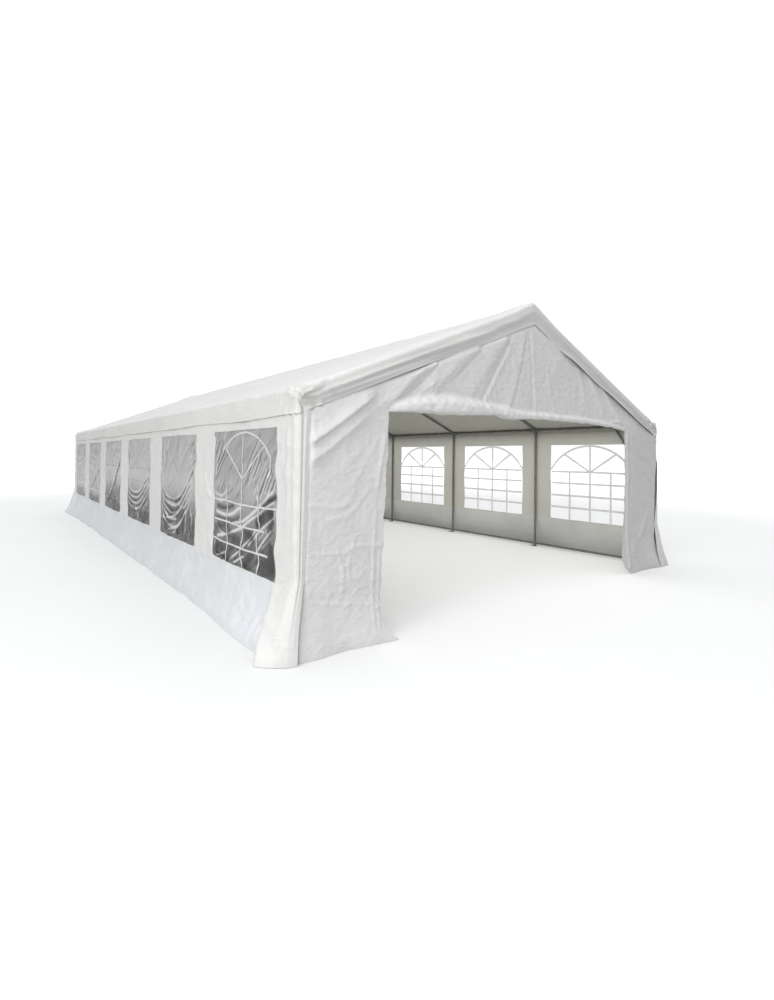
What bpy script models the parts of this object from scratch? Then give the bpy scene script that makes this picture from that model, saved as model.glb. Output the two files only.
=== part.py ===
"""Marquee tent: a steel tube frame of seven portals under a white tarpaulin roof, with windowed side walls.

Metres, +Z up. X runs across the tent and Y along it, with the open front at low Y and left at low X.
The origin is on the ground, under the middle of the ridge.
"""

import math

import bmesh
import bpy
from mathutils import Vector

# Driving dimensions
WIDTH = 5.90  # over the outer faces of the side valances
LENGTH = 11.80  # over the outer faces of the gable valances
BAYS = 6
EAVE_Z = 2.020  # centre of the eave tubes
RIDGE_Z = 3.200  # centre of the ridge tube
FABRIC = 0.004  # thickness of every tarpaulin solid, thicker than the real cloth
FILM = 0.002  # thickness of the clear window film
GAP = 0.0003  # clearance between pieces that touch

# Steel tubes and fittings
TUBE_R = 0.019
BRACE_R = 0.016
HUB_R = 0.0235  # the sleeve of a fitting that runs along the tent
POST_SLEEVE_R = 0.0229  # the sleeve that a fitting holds a post with
RAFTER_SLEEVE_R = 0.0222  # and a rafter
SLEEVE_LENGTH = 0.120
END_CAP = 0.012  # the outermost sleeves stop this far past their post's centre
ROUND_SIDES = 12
SOCKET_SIDES = 14  # unlike the rail's, so that no edges of the two line up where they cross

# Feet
FOOT_SIDE = 0.100
FOOT_THICKNESS = 0.004
FOOT_SOCKET_R = 0.0229
FOOT_SOCKET_TOP = 0.105
BASE_RAIL_Z = 0.045

# Knee braces at the four corners
BRACE_ALONG_EAVE = 0.56  # from the corner post to the clamp on the eave tube
BRACE_ON_POST_Z = 1.12
CLAMP_R = 0.0230
CLAMP_LENGTH = 0.050

# Roof cover
EAVE_VALANCE_Z = 1.845  # lower hem of the side valances
APEX_VALANCE_DROP = 0.230  # the gable valance hangs this far below the ridge
EAVE_ROUNDING = 0.030  # outer radius where the cover bends down over the eave
EAVE_ROUNDING_STEPS = 4

# Side walls
WALL_TOP = 1.960
HEM_Z = 0.003  # the cloth ends just above the ground
SKIRT_TOP = 0.450
SKIRT_OUT = 0.190  # how far the loose skirt stands out at the ground
SKIRT_CURVE = 1.8  # exponent of the skirt's flare
SKIRT_LEVELS = 5
CORNER_RETURN = 0.100  # the strip of side wall that wraps round each corner post
END_SKIRT_SHARE = 0.5  # the corner strips flare less along the tent than across it

# Windows in the side walls
WINDOW_WIDTH = 1.377
WINDOW_SILL = 0.520
WINDOW_HEAD = 1.755
FILM_MARGIN = 0.030

# End walls
END_WALL_EDGE = 0.0003  # clearance between an end wall and the side wall beside it
END_WALL_BELOW_ROOF = 0.020
END_WALL_SHOULDER = 0.045  # the end wall's upper corner is cut back to clear the rounded eave
DOOR_LEFT = -2.065
DOOR_LEFT_FOOT = -2.150  # the left panel's free edge leans out towards the ground
DOOR_RIGHT = 2.010
DOOR_HEAD = 1.925
ROLL_R = 0.085
ROLL_SIDES_RESOLUTION = 3
ROLL_END_GAP = 0.0005

# Places worked out from the driving dimensions: the layers of cloth lie against each other outside the frame
LAYER = FABRIC + GAP
WALL_X = WIDTH / 2 - LAYER - FABRIC / 2
POST_X = WIDTH / 2 - 2 * LAYER - HUB_R
RETURN_Y = LENGTH / 2 - LAYER - FABRIC / 2
END_WALL_Y = LENGTH / 2 - 2 * LAYER - FABRIC / 2
POST_Y = LENGTH / 2 - 3 * LAYER - HUB_R
BAY = 2 * POST_Y / BAYS
PORTAL_Y = [-POST_Y + BAY * i for i in range(BAYS + 1)]
SLOPE = math.atan2(RIDGE_Z - EAVE_Z, POST_X)
RISE = math.tan(SLOPE)
ROOF_INNER_Z = RIDGE_Z + (HUB_R + GAP) / math.cos(SLOPE)
ROOF_OUTER_Z = ROOF_INNER_Z + FABRIC / math.cos(SLOPE)
SIDES = {"left": -1, "right": 1}
ENDS = {"front": -1, "back": 1}
BELOW = -1.0  # cutters reach down to here
BEYOND = 0.5  # and stand this far past what they cut


def clear_scene():
    for obj in list(bpy.data.objects):
        bpy.data.objects.remove(obj, do_unlink=True)


def new_collection(name):
    collection = bpy.data.collections.new(name)
    bpy.context.scene.collection.children.link(collection)
    return collection


def make_material(name, colour, roughness, metallic, alpha=1.0):
    material = bpy.data.materials.new(name)
    material.use_nodes = True
    shader = material.node_tree.nodes["Principled BSDF"]
    shader.inputs["Base Color"].default_value = (*colour, 1.0)
    shader.inputs["Roughness"].default_value = roughness
    shader.inputs["Metallic"].default_value = metallic
    shader.inputs["Alpha"].default_value = alpha
    material.diffuse_color = (*colour, alpha)
    return material


clear_scene()
TENT = new_collection("marquee_tent")
CUTTERS = new_collection("cutters")
STEEL = make_material("galvanised_steel", (0.42, 0.42, 0.40), 0.45, 0.9)
TARPAULIN = make_material("white_tarpaulin", (0.86, 0.86, 0.84), 0.55, 0.0)
CLEAR_FILM = make_material("clear_film", (0.72, 0.75, 0.75), 0.15, 0.0, alpha=0.35)


def put_in(obj, collection):
    for old in list(obj.users_collection):
        old.objects.unlink(obj)
    collection.objects.link(obj)


def as_part(obj, material):
    """Makes obj one of the tent's named pieces."""
    put_in(obj, TENT)
    obj.data.materials.clear()
    obj.data.materials.append(material)
    return obj


def shade_round(obj):
    obj.data.shade_smooth()
    obj.data.set_sharp_from_angle(angle=math.radians(30))
    return obj


def rod(name, start, end, radius, sides=ROUND_SIDES):
    """A round bar between two points, from the cylinder primitive."""
    start, end = Vector(start), Vector(end)
    bpy.ops.mesh.primitive_cylinder_add(vertices=sides, radius=radius, depth=(end - start).length)
    obj = bpy.context.object
    obj.name = name
    obj.location = (start + end) / 2
    obj.rotation_mode = "QUATERNION"
    obj.rotation_quaternion = (end - start).to_track_quat("Z", "Y")
    return obj


def block(name, low, high):
    """A box between two corners, from the cube primitive."""
    low, high = Vector(low), Vector(high)
    bpy.ops.mesh.primitive_cube_add(size=1.0)
    obj = bpy.context.object
    obj.name = name
    size = high - low
    for vertex in obj.data.vertices:
        vertex.co = Vector(a * b for a, b in zip(vertex.co, size))
    obj.location = (low + high) / 2
    return obj


def outline_solid(name, outline, near, far):
    """A flat outline of X and Z points, as a curve extruded along Y from near to far, made a mesh."""
    curve = bpy.data.curves.new(name, "CURVE")
    curve.dimensions = "2D"
    curve.fill_mode = "BOTH"
    curve.extrude = (far - near) / 2
    spline = curve.splines.new("POLY")
    spline.points.add(len(outline) - 1)
    for point, (x, z) in zip(spline.points, outline):
        point.co = (x, z, 0.0, 1.0)
    spline.use_cyclic_u = True
    guide = bpy.data.objects.new(name + "_guide", curve)
    bpy.context.scene.collection.objects.link(guide)
    guide.location.y = (near + far) / 2
    guide.rotation_euler.x = math.pi / 2
    return curve_to_mesh(guide, name)


def curve_to_mesh(guide, name):
    """A mesh object in the curve's place, with its loose caps welded."""
    bpy.context.view_layer.update()
    evaluated = guide.evaluated_get(bpy.context.evaluated_depsgraph_get())
    mesh = bpy.data.meshes.new_from_object(evaluated)
    welded = bmesh.new()
    welded.from_mesh(mesh)
    bmesh.ops.remove_doubles(welded, verts=welded.verts, dist=1e-5)
    bmesh.ops.recalc_face_normals(welded, faces=welded.faces)
    welded.to_mesh(mesh)
    welded.free()
    obj = bpy.data.objects.new(name, mesh)
    obj.matrix_world = guide.matrix_world
    bpy.context.scene.collection.objects.link(obj)
    bpy.data.objects.remove(guide)
    return obj


def boolean(obj, others, operation):
    """One exact boolean between obj and a group of shapes, which become its cutters."""
    group = bpy.data.collections.new(f"{obj.name}_{operation.lower()}")
    CUTTERS.children.link(group)
    for other in others:
        put_in(other, group)
        other.hide_render = True
        other.display_type = "WIRE"
    modifier = obj.modifiers.new(operation.lower(), "BOOLEAN")
    modifier.operation = operation
    modifier.solver = "EXACT"
    modifier.operand_type = "COLLECTION"
    modifier.collection = group


def cut(obj, *others):
    boolean(obj, others, "DIFFERENCE")


def fuse(obj, *others):
    boolean(obj, others, "UNION")


def up_slope(side):
    """Unit vector from an eave towards the ridge."""
    return Vector((-side * math.cos(SLOPE), 0.0, math.sin(SLOPE)))


def hub_sleeve(name, x, y, z):
    """The sleeve of a fitting along the tent. At an end portal it stops just past the post."""
    reach_low = END_CAP if y == PORTAL_Y[0] else SLEEVE_LENGTH
    reach_high = END_CAP if y == PORTAL_Y[-1] else SLEEVE_LENGTH
    return rod(name, (x, y - reach_low, z), (x, y + reach_high, z), HUB_R)


def ridge_tube():
    """The ridge tube with the fitting at each portal that the two rafters plug into."""
    sleeves = []
    for number, y in enumerate(PORTAL_Y, 1):
        centre = Vector((0, y, RIDGE_Z))
        sleeves.append(hub_sleeve(f"ridge_hub_{number}", 0, y, RIDGE_Z))
        for side_name, side in SIDES.items():
            end = centre - up_slope(side) * SLEEVE_LENGTH
            sleeves.append(rod(f"ridge_sleeve_{side_name}_{number}", centre, end, RAFTER_SLEEVE_R))
    ridge = rod("ridge_purlin", (0, -POST_Y, RIDGE_Z), (0, POST_Y, RIDGE_Z), TUBE_R)
    fuse(ridge, *sleeves)
    shade_round(as_part(ridge, STEEL))


def eave_tube(side_name, side):
    """An eave tube with the fitting at each portal that holds a post and a rafter."""
    x = side * POST_X
    sleeves = []
    for number, y in enumerate(PORTAL_Y, 1):
        centre = Vector((x, y, EAVE_Z))
        post_end = centre - Vector((0, 0, SLEEVE_LENGTH))
        rafter_end = centre + up_slope(side) * SLEEVE_LENGTH
        sleeves.append(hub_sleeve(f"{side_name}_eave_hub_{number}", x, y, EAVE_Z))
        sleeves.append(rod(f"{side_name}_post_sleeve_{number}", centre, post_end, POST_SLEEVE_R))
        sleeves.append(rod(f"{side_name}_rafter_sleeve_{number}", centre, rafter_end, RAFTER_SLEEVE_R))
    eave = rod(f"{side_name}_eave_purlin", (x, -POST_Y, EAVE_Z), (x, POST_Y, EAVE_Z), TUBE_R)
    fuse(eave, *sleeves)
    shade_round(as_part(eave, STEEL))


def base_rail(side_name, side):
    """The rail along the ground that ties the posts' feet: a plate and a socket at each post."""
    x = side * POST_X
    half = FOOT_SIDE / 2
    set_in = FABRIC / 2 + GAP + half
    plate_x = side * (WALL_X - set_in)
    outermost = END_WALL_Y - set_in  # the end plates stay inside the end walls
    feet = []
    for number, y in enumerate(PORTAL_Y, 1):
        plate_y = max(-outermost, min(outermost, y))
        low = (plate_x - half, plate_y - half, 0)
        high = (plate_x + half, plate_y + half, FOOT_THICKNESS)
        feet.append(block(f"{side_name}_foot_{number}", low, high))
        start, end = (x, y, FOOT_THICKNESS / 2), (x, y, FOOT_SOCKET_TOP)
        feet.append(rod(f"{side_name}_socket_{number}", start, end, FOOT_SOCKET_R, SOCKET_SIDES))
    rail = rod(f"{side_name}_base_rail", (x, -POST_Y, BASE_RAIL_Z), (x, POST_Y, BASE_RAIL_Z), TUBE_R)
    fuse(rail, *feet)
    shade_round(as_part(rail, STEEL))


def post(side_name, side, number, y):
    x = side * POST_X
    foot = (x, y, FOOT_SOCKET_TOP + GAP)
    head = (x, y, EAVE_Z - SLEEVE_LENGTH - GAP)
    shade_round(as_part(rod(f"{side_name}_post_{number}", foot, head, TUBE_R), STEEL))


def rafter(side_name, side, number, y):
    along = up_slope(side)
    lower = Vector((side * POST_X, y, EAVE_Z)) + along * (SLEEVE_LENGTH + GAP)
    upper = Vector((0, y, RIDGE_Z)) - along * (SLEEVE_LENGTH + GAP)
    shade_round(as_part(rod(f"{side_name}_rafter_{number}", lower, upper, TUBE_R), STEEL))


def knee_brace(side_name, side, end_name, end):
    """A brace in the side wall's plane, clamped round the corner post and round the eave tube."""
    x = side * POST_X
    name = f"{end_name}_{side_name}_brace"
    on_post = Vector((x, end * POST_Y, BRACE_ON_POST_Z))
    on_eave = Vector((x, end * (POST_Y - BRACE_ALONG_EAVE), EAVE_Z))
    clamps, holes = [], []
    for what, centre, direction in (("post", on_post, (0, 0, 1)), ("eave", on_eave, (0, 1, 0))):
        half = Vector(direction) * CLAMP_LENGTH / 2
        clamps.append(rod(f"{name}_{what}_clamp", centre - half, centre + half, CLAMP_R))
        holes.append(rod(f"{name}_{what}_hole", centre - 4 * half, centre + 4 * half, TUBE_R + GAP))
    brace = rod(name, on_post, on_eave, BRACE_R)
    fuse(brace, *clamps)
    cut(brace, *holes)
    shade_round(as_part(brace, STEEL))


def house_outline(half_width, apex_z, bottom_z, rounding):
    """The section of a gabled volume whose slopes match the rafters, with its eaves rounded."""
    shoulder_z = apex_z - half_width * RISE
    centre_x = half_width - rounding
    centre_z = shoulder_z - rounding / math.tan((math.pi / 2 + SLOPE) / 2)
    turn = math.pi / 2 - SLOPE
    right = [(half_width, bottom_z)]
    for step in range(EAVE_ROUNDING_STEPS + 1):
        angle = turn * step / EAVE_ROUNDING_STEPS
        right.append((centre_x + rounding * math.cos(angle), centre_z + rounding * math.sin(angle)))
    left = [(-x, z) for x, z in reversed(right)]
    return [*right, (0.0, apex_z), *left]


def roof_cover():
    """One sheet over both slopes, with a valance hanging on all four sides."""
    half_width, half_length = WIDTH / 2, LENGTH / 2
    outline = house_outline(half_width, ROOF_OUTER_Z, EAVE_Z - BEYOND, EAVE_ROUNDING)
    cover = outline_solid("roof_cover", outline, -half_length, half_length)

    inner_outline = house_outline(half_width - FABRIC, ROOF_INNER_Z, BELOW, EAVE_ROUNDING - FABRIC)
    inside = outline_solid("roof_inside", inner_outline, FABRIC - half_length, half_length - FABRIC)

    beyond_x = half_width + BEYOND
    hem = [
        (-beyond_x, BELOW),
        (beyond_x, BELOW),
        (beyond_x, EAVE_VALANCE_Z),
        (half_width, EAVE_VALANCE_Z),
        (0.0, ROOF_OUTER_Z - APEX_VALANCE_DROP),
        (-half_width, EAVE_VALANCE_Z),
        (-beyond_x, EAVE_VALANCE_Z),
    ]
    below = outline_solid("below_valance", hem, -half_length - BEYOND, half_length + BEYOND)
    cut(cover, inside, below)
    as_part(cover, TARPAULIN)


def skirt_flare(z):
    """How far the side wall stands out from the frame at a height."""
    share = max(0.0, (SKIRT_TOP - z) / (SKIRT_TOP - HEM_Z))
    return SKIRT_OUT * share**SKIRT_CURVE


def wall_path(side, z):
    """The side wall's line seen from above at a height: along the tent, with a return round each corner."""
    out = skirt_flare(z)
    x = side * (WALL_X + out)
    y = RETURN_Y + out * END_SKIRT_SHARE
    inner_x = side * (WALL_X - CORNER_RETURN)
    return [Vector((inner_x, -y, z)), Vector((x, -y, z)), Vector((x, y, z)), Vector((inner_x, y, z))]


def along_wall(vert):
    """Orders one level's points as wall_path gives them, from the front corner strip to the back one."""
    return (vert.co.y, math.copysign(vert.co.x, -vert.co.y))


def side_wall(side_name, side):
    """One sheet down a side, extruded level by level from its top edge and flared into a skirt."""
    windows = []
    for bay in range(BAYS):
        centre_y = PORTAL_Y[bay] + BAY / 2
        low = (side * WALL_X - BEYOND, centre_y - WINDOW_WIDTH / 2, WINDOW_SILL)
        high = (side * WALL_X + BEYOND, centre_y + WINDOW_WIDTH / 2, WINDOW_HEAD)
        windows.append(block(f"{side_name}_window_{bay + 1}", low, high))
    sheet = bmesh.new()
    row = [sheet.verts.new(point) for point in wall_path(side, WALL_TOP)]
    edges = [sheet.edges.new(pair) for pair in zip(row, row[1:])]
    for step in range(SKIRT_LEVELS + 1):
        z = SKIRT_TOP + (HEM_Z - SKIRT_TOP) * step / SKIRT_LEVELS
        grown = bmesh.ops.extrude_edge_only(sheet, edges=edges)["geom"]
        row = sorted((item for item in grown if isinstance(item, bmesh.types.BMVert)), key=along_wall)
        for vert, place in zip(row, wall_path(side, z)):
            vert.co = place
        edges = [sheet.edges.get(pair) for pair in zip(row, row[1:])]
    bmesh.ops.recalc_face_normals(sheet, faces=sheet.faces)
    mesh = bpy.data.meshes.new(f"{side_name}_wall")
    sheet.to_mesh(mesh)
    sheet.free()
    wall = bpy.data.objects.new(f"{side_name}_wall", mesh)
    bpy.context.scene.collection.objects.link(wall)
    thickness = wall.modifiers.new("thickness", "SOLIDIFY")
    thickness.thickness = FABRIC
    thickness.offset = 0.0
    thickness.use_even_offset = True
    cut(wall, *windows)
    as_part(wall, TARPAULIN)


def window_film(side_name, side):
    """Clear film behind the side wall, closing its six windows."""
    outer = WALL_X - FABRIC / 2 - GAP
    first = PORTAL_Y[0] + BAY / 2 - WINDOW_WIDTH / 2 - FILM_MARGIN
    corners = sorted((side * outer, side * (outer - FILM)))
    low = (corners[0], first, WINDOW_SILL - FILM_MARGIN)
    high = (corners[1], -first, WINDOW_HEAD + FILM_MARGIN)
    as_part(block(f"{side_name}_window_film", low, high), CLEAR_FILM)


def end_wall_top(x):
    """Height of an end wall's upper edge, just under the roof cover."""
    return ROOF_INNER_Z - END_WALL_BELOW_ROOF - abs(x) * RISE


END_WALL_X = WALL_X - FABRIC / 2 - END_WALL_EDGE


def end_sheet(name, outline, end):
    near, far = sorted((end * (END_WALL_Y - FABRIC / 2), end * (END_WALL_Y + FABRIC / 2)))
    return as_part(outline_solid(name, outline, near, far), TARPAULIN)


def shoulder(side):
    """The two points at an end wall's upper corner, from the side edge in towards the ridge."""
    inner = END_WALL_X - END_WALL_SHOULDER
    return [(side * END_WALL_X, WALL_TOP), (side * inner, end_wall_top(inner))]


def front_wall():
    """The front sheet, in three: a panel each side of the doorway and the gable over it."""
    left = [(-END_WALL_X, HEM_Z), (DOOR_LEFT_FOOT, HEM_Z), (DOOR_LEFT, DOOR_HEAD)]
    left += [(DOOR_LEFT, end_wall_top(DOOR_LEFT)), *reversed(shoulder(-1))]
    end_sheet("front_left_panel", left, -1)

    right = [(DOOR_RIGHT, HEM_Z), (END_WALL_X, HEM_Z), *shoulder(1)]
    right += [(DOOR_RIGHT, end_wall_top(DOOR_RIGHT))]
    end_sheet("front_right_panel", right, -1)

    gable_z = DOOR_HEAD + 2 * ROLL_R + GAP
    gable_left, gable_right = DOOR_LEFT + GAP, DOOR_RIGHT - GAP
    gable = [
        (gable_left, gable_z),
        (gable_right, gable_z),
        (gable_right, end_wall_top(gable_right)),
        (0.0, end_wall_top(0.0)),
        (gable_left, end_wall_top(gable_left)),
    ]
    end_sheet("front_gable", gable, -1)


def rolled_door():
    """The door curtain rolled up under the front gable, as one round roll."""
    curve = bpy.data.curves.new("front_door_roll", "CURVE")
    curve.dimensions = "3D"
    curve.bevel_depth = ROLL_R
    curve.bevel_resolution = ROLL_SIDES_RESOLUTION
    curve.use_fill_caps = True
    spline = curve.splines.new("POLY")
    spline.points.add(1)
    z = DOOR_HEAD + ROLL_R
    for point, x in zip(spline.points, (DOOR_LEFT + ROLL_END_GAP, DOOR_RIGHT - ROLL_END_GAP)):
        point.co = (x, -END_WALL_Y, z, 1.0)
    guide = bpy.data.objects.new("front_door_roll_guide", curve)
    bpy.context.scene.collection.objects.link(guide)
    shade_round(as_part(curve_to_mesh(guide, "front_door_roll"), TARPAULIN))


def back_wall():
    """The closed back: the same sheet with its doorway, and the door curtain zipped into it."""
    outline = [(-END_WALL_X, HEM_Z), (END_WALL_X, HEM_Z), *shoulder(1)]
    outline += [(0.0, end_wall_top(0.0)), *reversed(shoulder(-1))]
    wall = end_sheet("back_wall", outline, 1)
    low = (-DOOR_RIGHT, END_WALL_Y - BEYOND, -BEYOND)
    high = (-DOOR_LEFT, END_WALL_Y + BEYOND, DOOR_HEAD)
    cut(wall, block("back_doorway", low, high))
    curtain = [
        (GAP - DOOR_RIGHT, HEM_Z),
        (-DOOR_LEFT - GAP, HEM_Z),
        (-DOOR_LEFT - GAP, DOOR_HEAD - GAP),
        (GAP - DOOR_RIGHT, DOOR_HEAD - GAP),
    ]
    end_sheet("back_door_curtain", curtain, 1)


def build_frame():
    ridge_tube()
    for side_name, side in SIDES.items():
        eave_tube(side_name, side)
        base_rail(side_name, side)
        for number, y in enumerate(PORTAL_Y, 1):
            post(side_name, side, number, y)
            rafter(side_name, side, number, y)
        for end_name, end in ENDS.items():
            knee_brace(side_name, side, end_name, end)


def build_covers():
    roof_cover()
    for side_name, side in SIDES.items():
        side_wall(side_name, side)
        window_film(side_name, side)
    front_wall()
    rolled_door()
    back_wall()


build_frame()
build_covers()
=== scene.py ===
"""Looks of the marquee tent: cloth, window film and bars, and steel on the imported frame, in a plain studio.

Metres, +Z up, as in the CAD part: X across the tent, Y along it, the open front at low Y.
"""

import math

import bmesh
import bpy
import numpy as np
from mathutils import Matrix, Vector


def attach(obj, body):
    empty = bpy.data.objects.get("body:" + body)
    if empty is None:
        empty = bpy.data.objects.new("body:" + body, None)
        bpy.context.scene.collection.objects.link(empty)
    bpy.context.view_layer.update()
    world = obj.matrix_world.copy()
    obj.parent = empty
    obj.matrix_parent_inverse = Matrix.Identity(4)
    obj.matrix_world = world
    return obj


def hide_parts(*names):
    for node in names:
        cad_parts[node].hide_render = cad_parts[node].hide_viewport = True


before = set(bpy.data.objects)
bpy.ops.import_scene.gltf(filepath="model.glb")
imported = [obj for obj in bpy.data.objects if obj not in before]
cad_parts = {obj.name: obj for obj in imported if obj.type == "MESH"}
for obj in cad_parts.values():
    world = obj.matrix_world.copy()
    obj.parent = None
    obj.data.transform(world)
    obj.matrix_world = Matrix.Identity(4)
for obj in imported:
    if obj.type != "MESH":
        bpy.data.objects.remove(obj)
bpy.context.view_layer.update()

# Places that the CAD part gives
HALF_WIDTH = 2.95
HALF_LENGTH = 5.9
RIDGE_TOP = 3.23
SLOPE = math.radians(22.02)
RISE = math.tan(SLOPE)
POST_Y = 5.8636
BAYS = 6
BAY = 2 * POST_Y / BAYS
PORTAL_Y = [-POST_Y + BAY * i for i in range(BAYS + 1)]
WALL_FACE = 2.9457
WALL_END = 5.8957
WALL_LENGTH = 2 * WALL_END
WALL_TOP = 1.96
END_FACE = 5.8914
END_EDGE = 2.9414
HEM_Z = 0.003
VALANCE_Z = 1.845
VALANCE_APEX_Z = 3.0
EAVE_Z = 2.02
WINDOW_WIDTH = 1.377
WINDOW_SILL = 0.52
WINDOW_HEAD = 1.755
WINDOW_HEIGHT = WINDOW_HEAD - WINDOW_SILL
WINDOW_Y = [PORTAL_Y[i] + (BAY - WINDOW_WIDTH) / 2 for i in range(BAYS)]
DOOR_LEFT = -2.065
DOOR_RIGHT = 2.01

# Sizes of the cloth: thickness, roundings of cover and walls, depth of a gable valance, and the film's weld
CLOTH = 0.0012
EAVE_ROUNDING = 0.03
EDGE_ROUNDING = 0.045
CORNER_ROUNDING = 0.022
VALANCE_DEPTH = 0.2
FILM_MARGIN = 0.018

# How far the gable goes behind each front panel, and the side walls' flaps go round the corners
OVERLAP = 0.05
FRONT_RETURN = {-1: 0.135, 1: 0.25}
BACK_RETURN = 0.1

# The crease in the left wall's flap: its distance from the corner at the ground, and its lean
FLAP_FOOT = 0.1
FLAP_LEAN = 0.44

# Cells of the cloth grids
ROOF_CELL = 0.068
WALL_CELL = 0.02
RIGHT_WALL_CELL = 0.034
FRONT_CELL = 0.0125
GABLE_CELL = 0.0165
BACK_CELL = 0.04
FILM_CELL = 0.016
RIGHT_FILM_CELL = 0.026


# Cloth surfaces as height fields over a flat sheet


def smooth(share):
    share = np.clip(share, 0.0, 1.0)
    return share * share * (3.0 - 2.0 * share)


def bell(share):
    return np.exp(-(share**2))


def curved(path, steps=5):
    """The points of a smooth curve through the points of a path."""
    points = [np.array(point, float) for point in path]
    if len(points) < 3:
        return points
    ends = [2 * points[0] - points[1], *points, 2 * points[-1] - points[-2]]
    line = [points[0]]
    for before, p, q, after in zip(ends, ends[1:], ends[2:], ends[3:]):
        for t in np.linspace(0, 1, steps + 1)[1:]:
            bend = (2 * before - 5 * p + 4 * q - after) * t**2 + (3 * p - before - 3 * q + after) * t**3
            line.append(0.5 * (2 * p + (q - before) * t + bend))
    return line


def fold(a, b, path, width, height, fade=(0.25, 0.25), power=2.0, steep=1.0):
    """The height of one fold along a path of (a, b) points, fading towards both its ends.

    On the right-hand side of the path it is narrower by the share steep.
    """
    points = curved(path)
    lengths = [np.linalg.norm(q - p) for p, q in zip(points, points[1:])]
    total = sum(lengths)
    nearest = np.full(a.shape, 1e9)
    along = np.zeros(a.shape)
    turn = np.zeros(a.shape)
    done = 0.0
    for p, q, length in zip(points, points[1:], lengths):
        direction = (q - p) / length
        t = np.clip((a - p[0]) * direction[0] + (b - p[1]) * direction[1], 0.0, length)
        off_a = a - p[0] - t * direction[0]
        off_b = b - p[1] - t * direction[1]
        distance = np.hypot(off_a, off_b)
        closer = distance < nearest
        nearest = np.where(closer, distance, nearest)
        along = np.where(closer, (done + t) / total, along)
        turn = np.where(closer, direction[0] * off_b - direction[1] * off_a, turn)
        done += length
    ends = smooth(along / max(fade[0], 1e-6)) * smooth((1.0 - along) / max(fade[1], 1e-6))
    reach = np.where(turn < 0, width * steep, width)
    return height * np.exp(-((nearest / reach) ** power)) * ends


def folds(a, b, rows):
    """The heights of many folds. A row holds what one fold takes after a and b."""
    return sum(fold(a, b, *row) for row in rows)


def ripples(a, b, seed, height, lengths, angle=0.0, spread=180.0, count=28):
    """Plane waves of random length, direction and phase, added up."""
    rng = np.random.RandomState(seed)
    total = np.zeros(a.shape)
    for _ in range(count):
        turn = math.radians(angle + rng.uniform(-spread, spread))
        wave = 2 * math.pi / rng.uniform(*lengths)
        phase = rng.uniform(0, 2 * math.pi)
        total += rng.uniform(0.5, 1.0) * np.sin(wave * (a * math.cos(turn) + b * math.sin(turn)) + phase)
    return height * total / math.sqrt(count)


def creases(a, b, seed, height, lengths, angle=0.0, spread=180.0):
    """Ripples turned into narrow ridges, as in cloth that was packed folded."""
    wave = ripples(a, b, seed, 1.0, lengths, angle, spread)
    patches = smooth(0.5 + 0.5 * ripples(a, b, seed + 1, 1.0, (0.5, 1.1)))
    return height * np.exp(-np.abs(wave) * 4.0) * patches


# Meshes


def spaced(low, high, cell):
    return np.linspace(low, high, max(1, round((high - low) / cell)) + 1)


def joined(*runs):
    """Rising runs of numbers end to end, each shared end once."""
    return np.concatenate([runs[0], *[run[1:] for run in runs[1:]]])


def grid_object(name, points, keep=None, weld=False, attributes=None):
    """A quad mesh from points in rows and columns. keep marks the cells that are cloth."""
    rows, columns = points.shape[:2]
    index = np.arange(rows * columns).reshape(rows, columns)
    quads = np.stack([index[:-1, :-1], index[:-1, 1:], index[1:, 1:], index[1:, :-1]], -1)
    quads = quads.reshape(-1, 4) if keep is None else quads[keep]
    used = np.unique(quads)
    place = np.zeros(rows * columns, int)
    place[used] = np.arange(len(used))
    mesh = bpy.data.meshes.new(name)
    mesh.vertices.add(len(used))
    mesh.vertices.foreach_set("co", points.reshape(-1, 3)[used].astype(np.float32).ravel())
    mesh.loops.add(quads.size)
    mesh.loops.foreach_set("vertex_index", place[quads].ravel().astype(np.int32))
    mesh.polygons.add(len(quads))
    mesh.polygons.foreach_set("loop_start", np.arange(0, quads.size, 4, dtype=np.int32))
    mesh.update(calc_edges=True)
    for title, values in (attributes or {}).items():
        attribute = mesh.attributes.new(title, "FLOAT", "POINT")
        attribute.data.foreach_set("value", values.ravel()[used].astype(np.float32))
    if weld:
        welded = bmesh.new()
        welded.from_mesh(mesh)
        bmesh.ops.remove_doubles(welded, verts=welded.verts, dist=1e-4)
        welded.to_mesh(mesh)
        welded.free()
    mesh.shade_smooth()
    mark_rims(mesh)
    obj = bpy.data.objects.new(name, mesh)
    bpy.context.scene.collection.objects.link(obj)
    return obj


def mark_rims(mesh):
    """Sharp edges all round a sheet, so that its rim shades apart from its faces."""
    edges = np.zeros(len(mesh.loops), np.int32)
    mesh.loops.foreach_get("edge_index", edges)
    rims = np.bincount(edges, minlength=len(mesh.edges)) == 1
    mesh.attributes.new("sharp_edge", "BOOLEAN", "EDGE").data.foreach_set("value", rims)


def join_objects(name, objects):
    bpy.ops.object.select_all(action="DESELECT")
    for obj in objects:
        obj.select_set(True)
    bpy.context.view_layer.objects.active = objects[0]
    bpy.ops.object.join()
    objects[0].name = name
    return objects[0]


def thicken(obj, thickness, outside, inside):
    """Gives a sheet its thickness inwards, with its own material on the inner face."""
    obj.data.materials.append(outside)
    obj.data.materials.append(inside)
    solid = obj.modifiers.new("thickness", "SOLIDIFY")
    solid.thickness = thickness
    solid.offset = -1.0
    solid.use_rim = True
    solid.material_offset = 1
    solid.material_offset_rim = 0


def face_out(obj, direction):
    """Turns a mesh's faces so that most of them look along direction."""
    normals = np.zeros(len(obj.data.polygons) * 3)
    obj.data.polygons.foreach_get("normal", normals)
    if (normals.reshape(-1, 3) @ np.array(direction)).sum() < 0:
        obj.data.flip_normals()
    return obj


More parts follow.
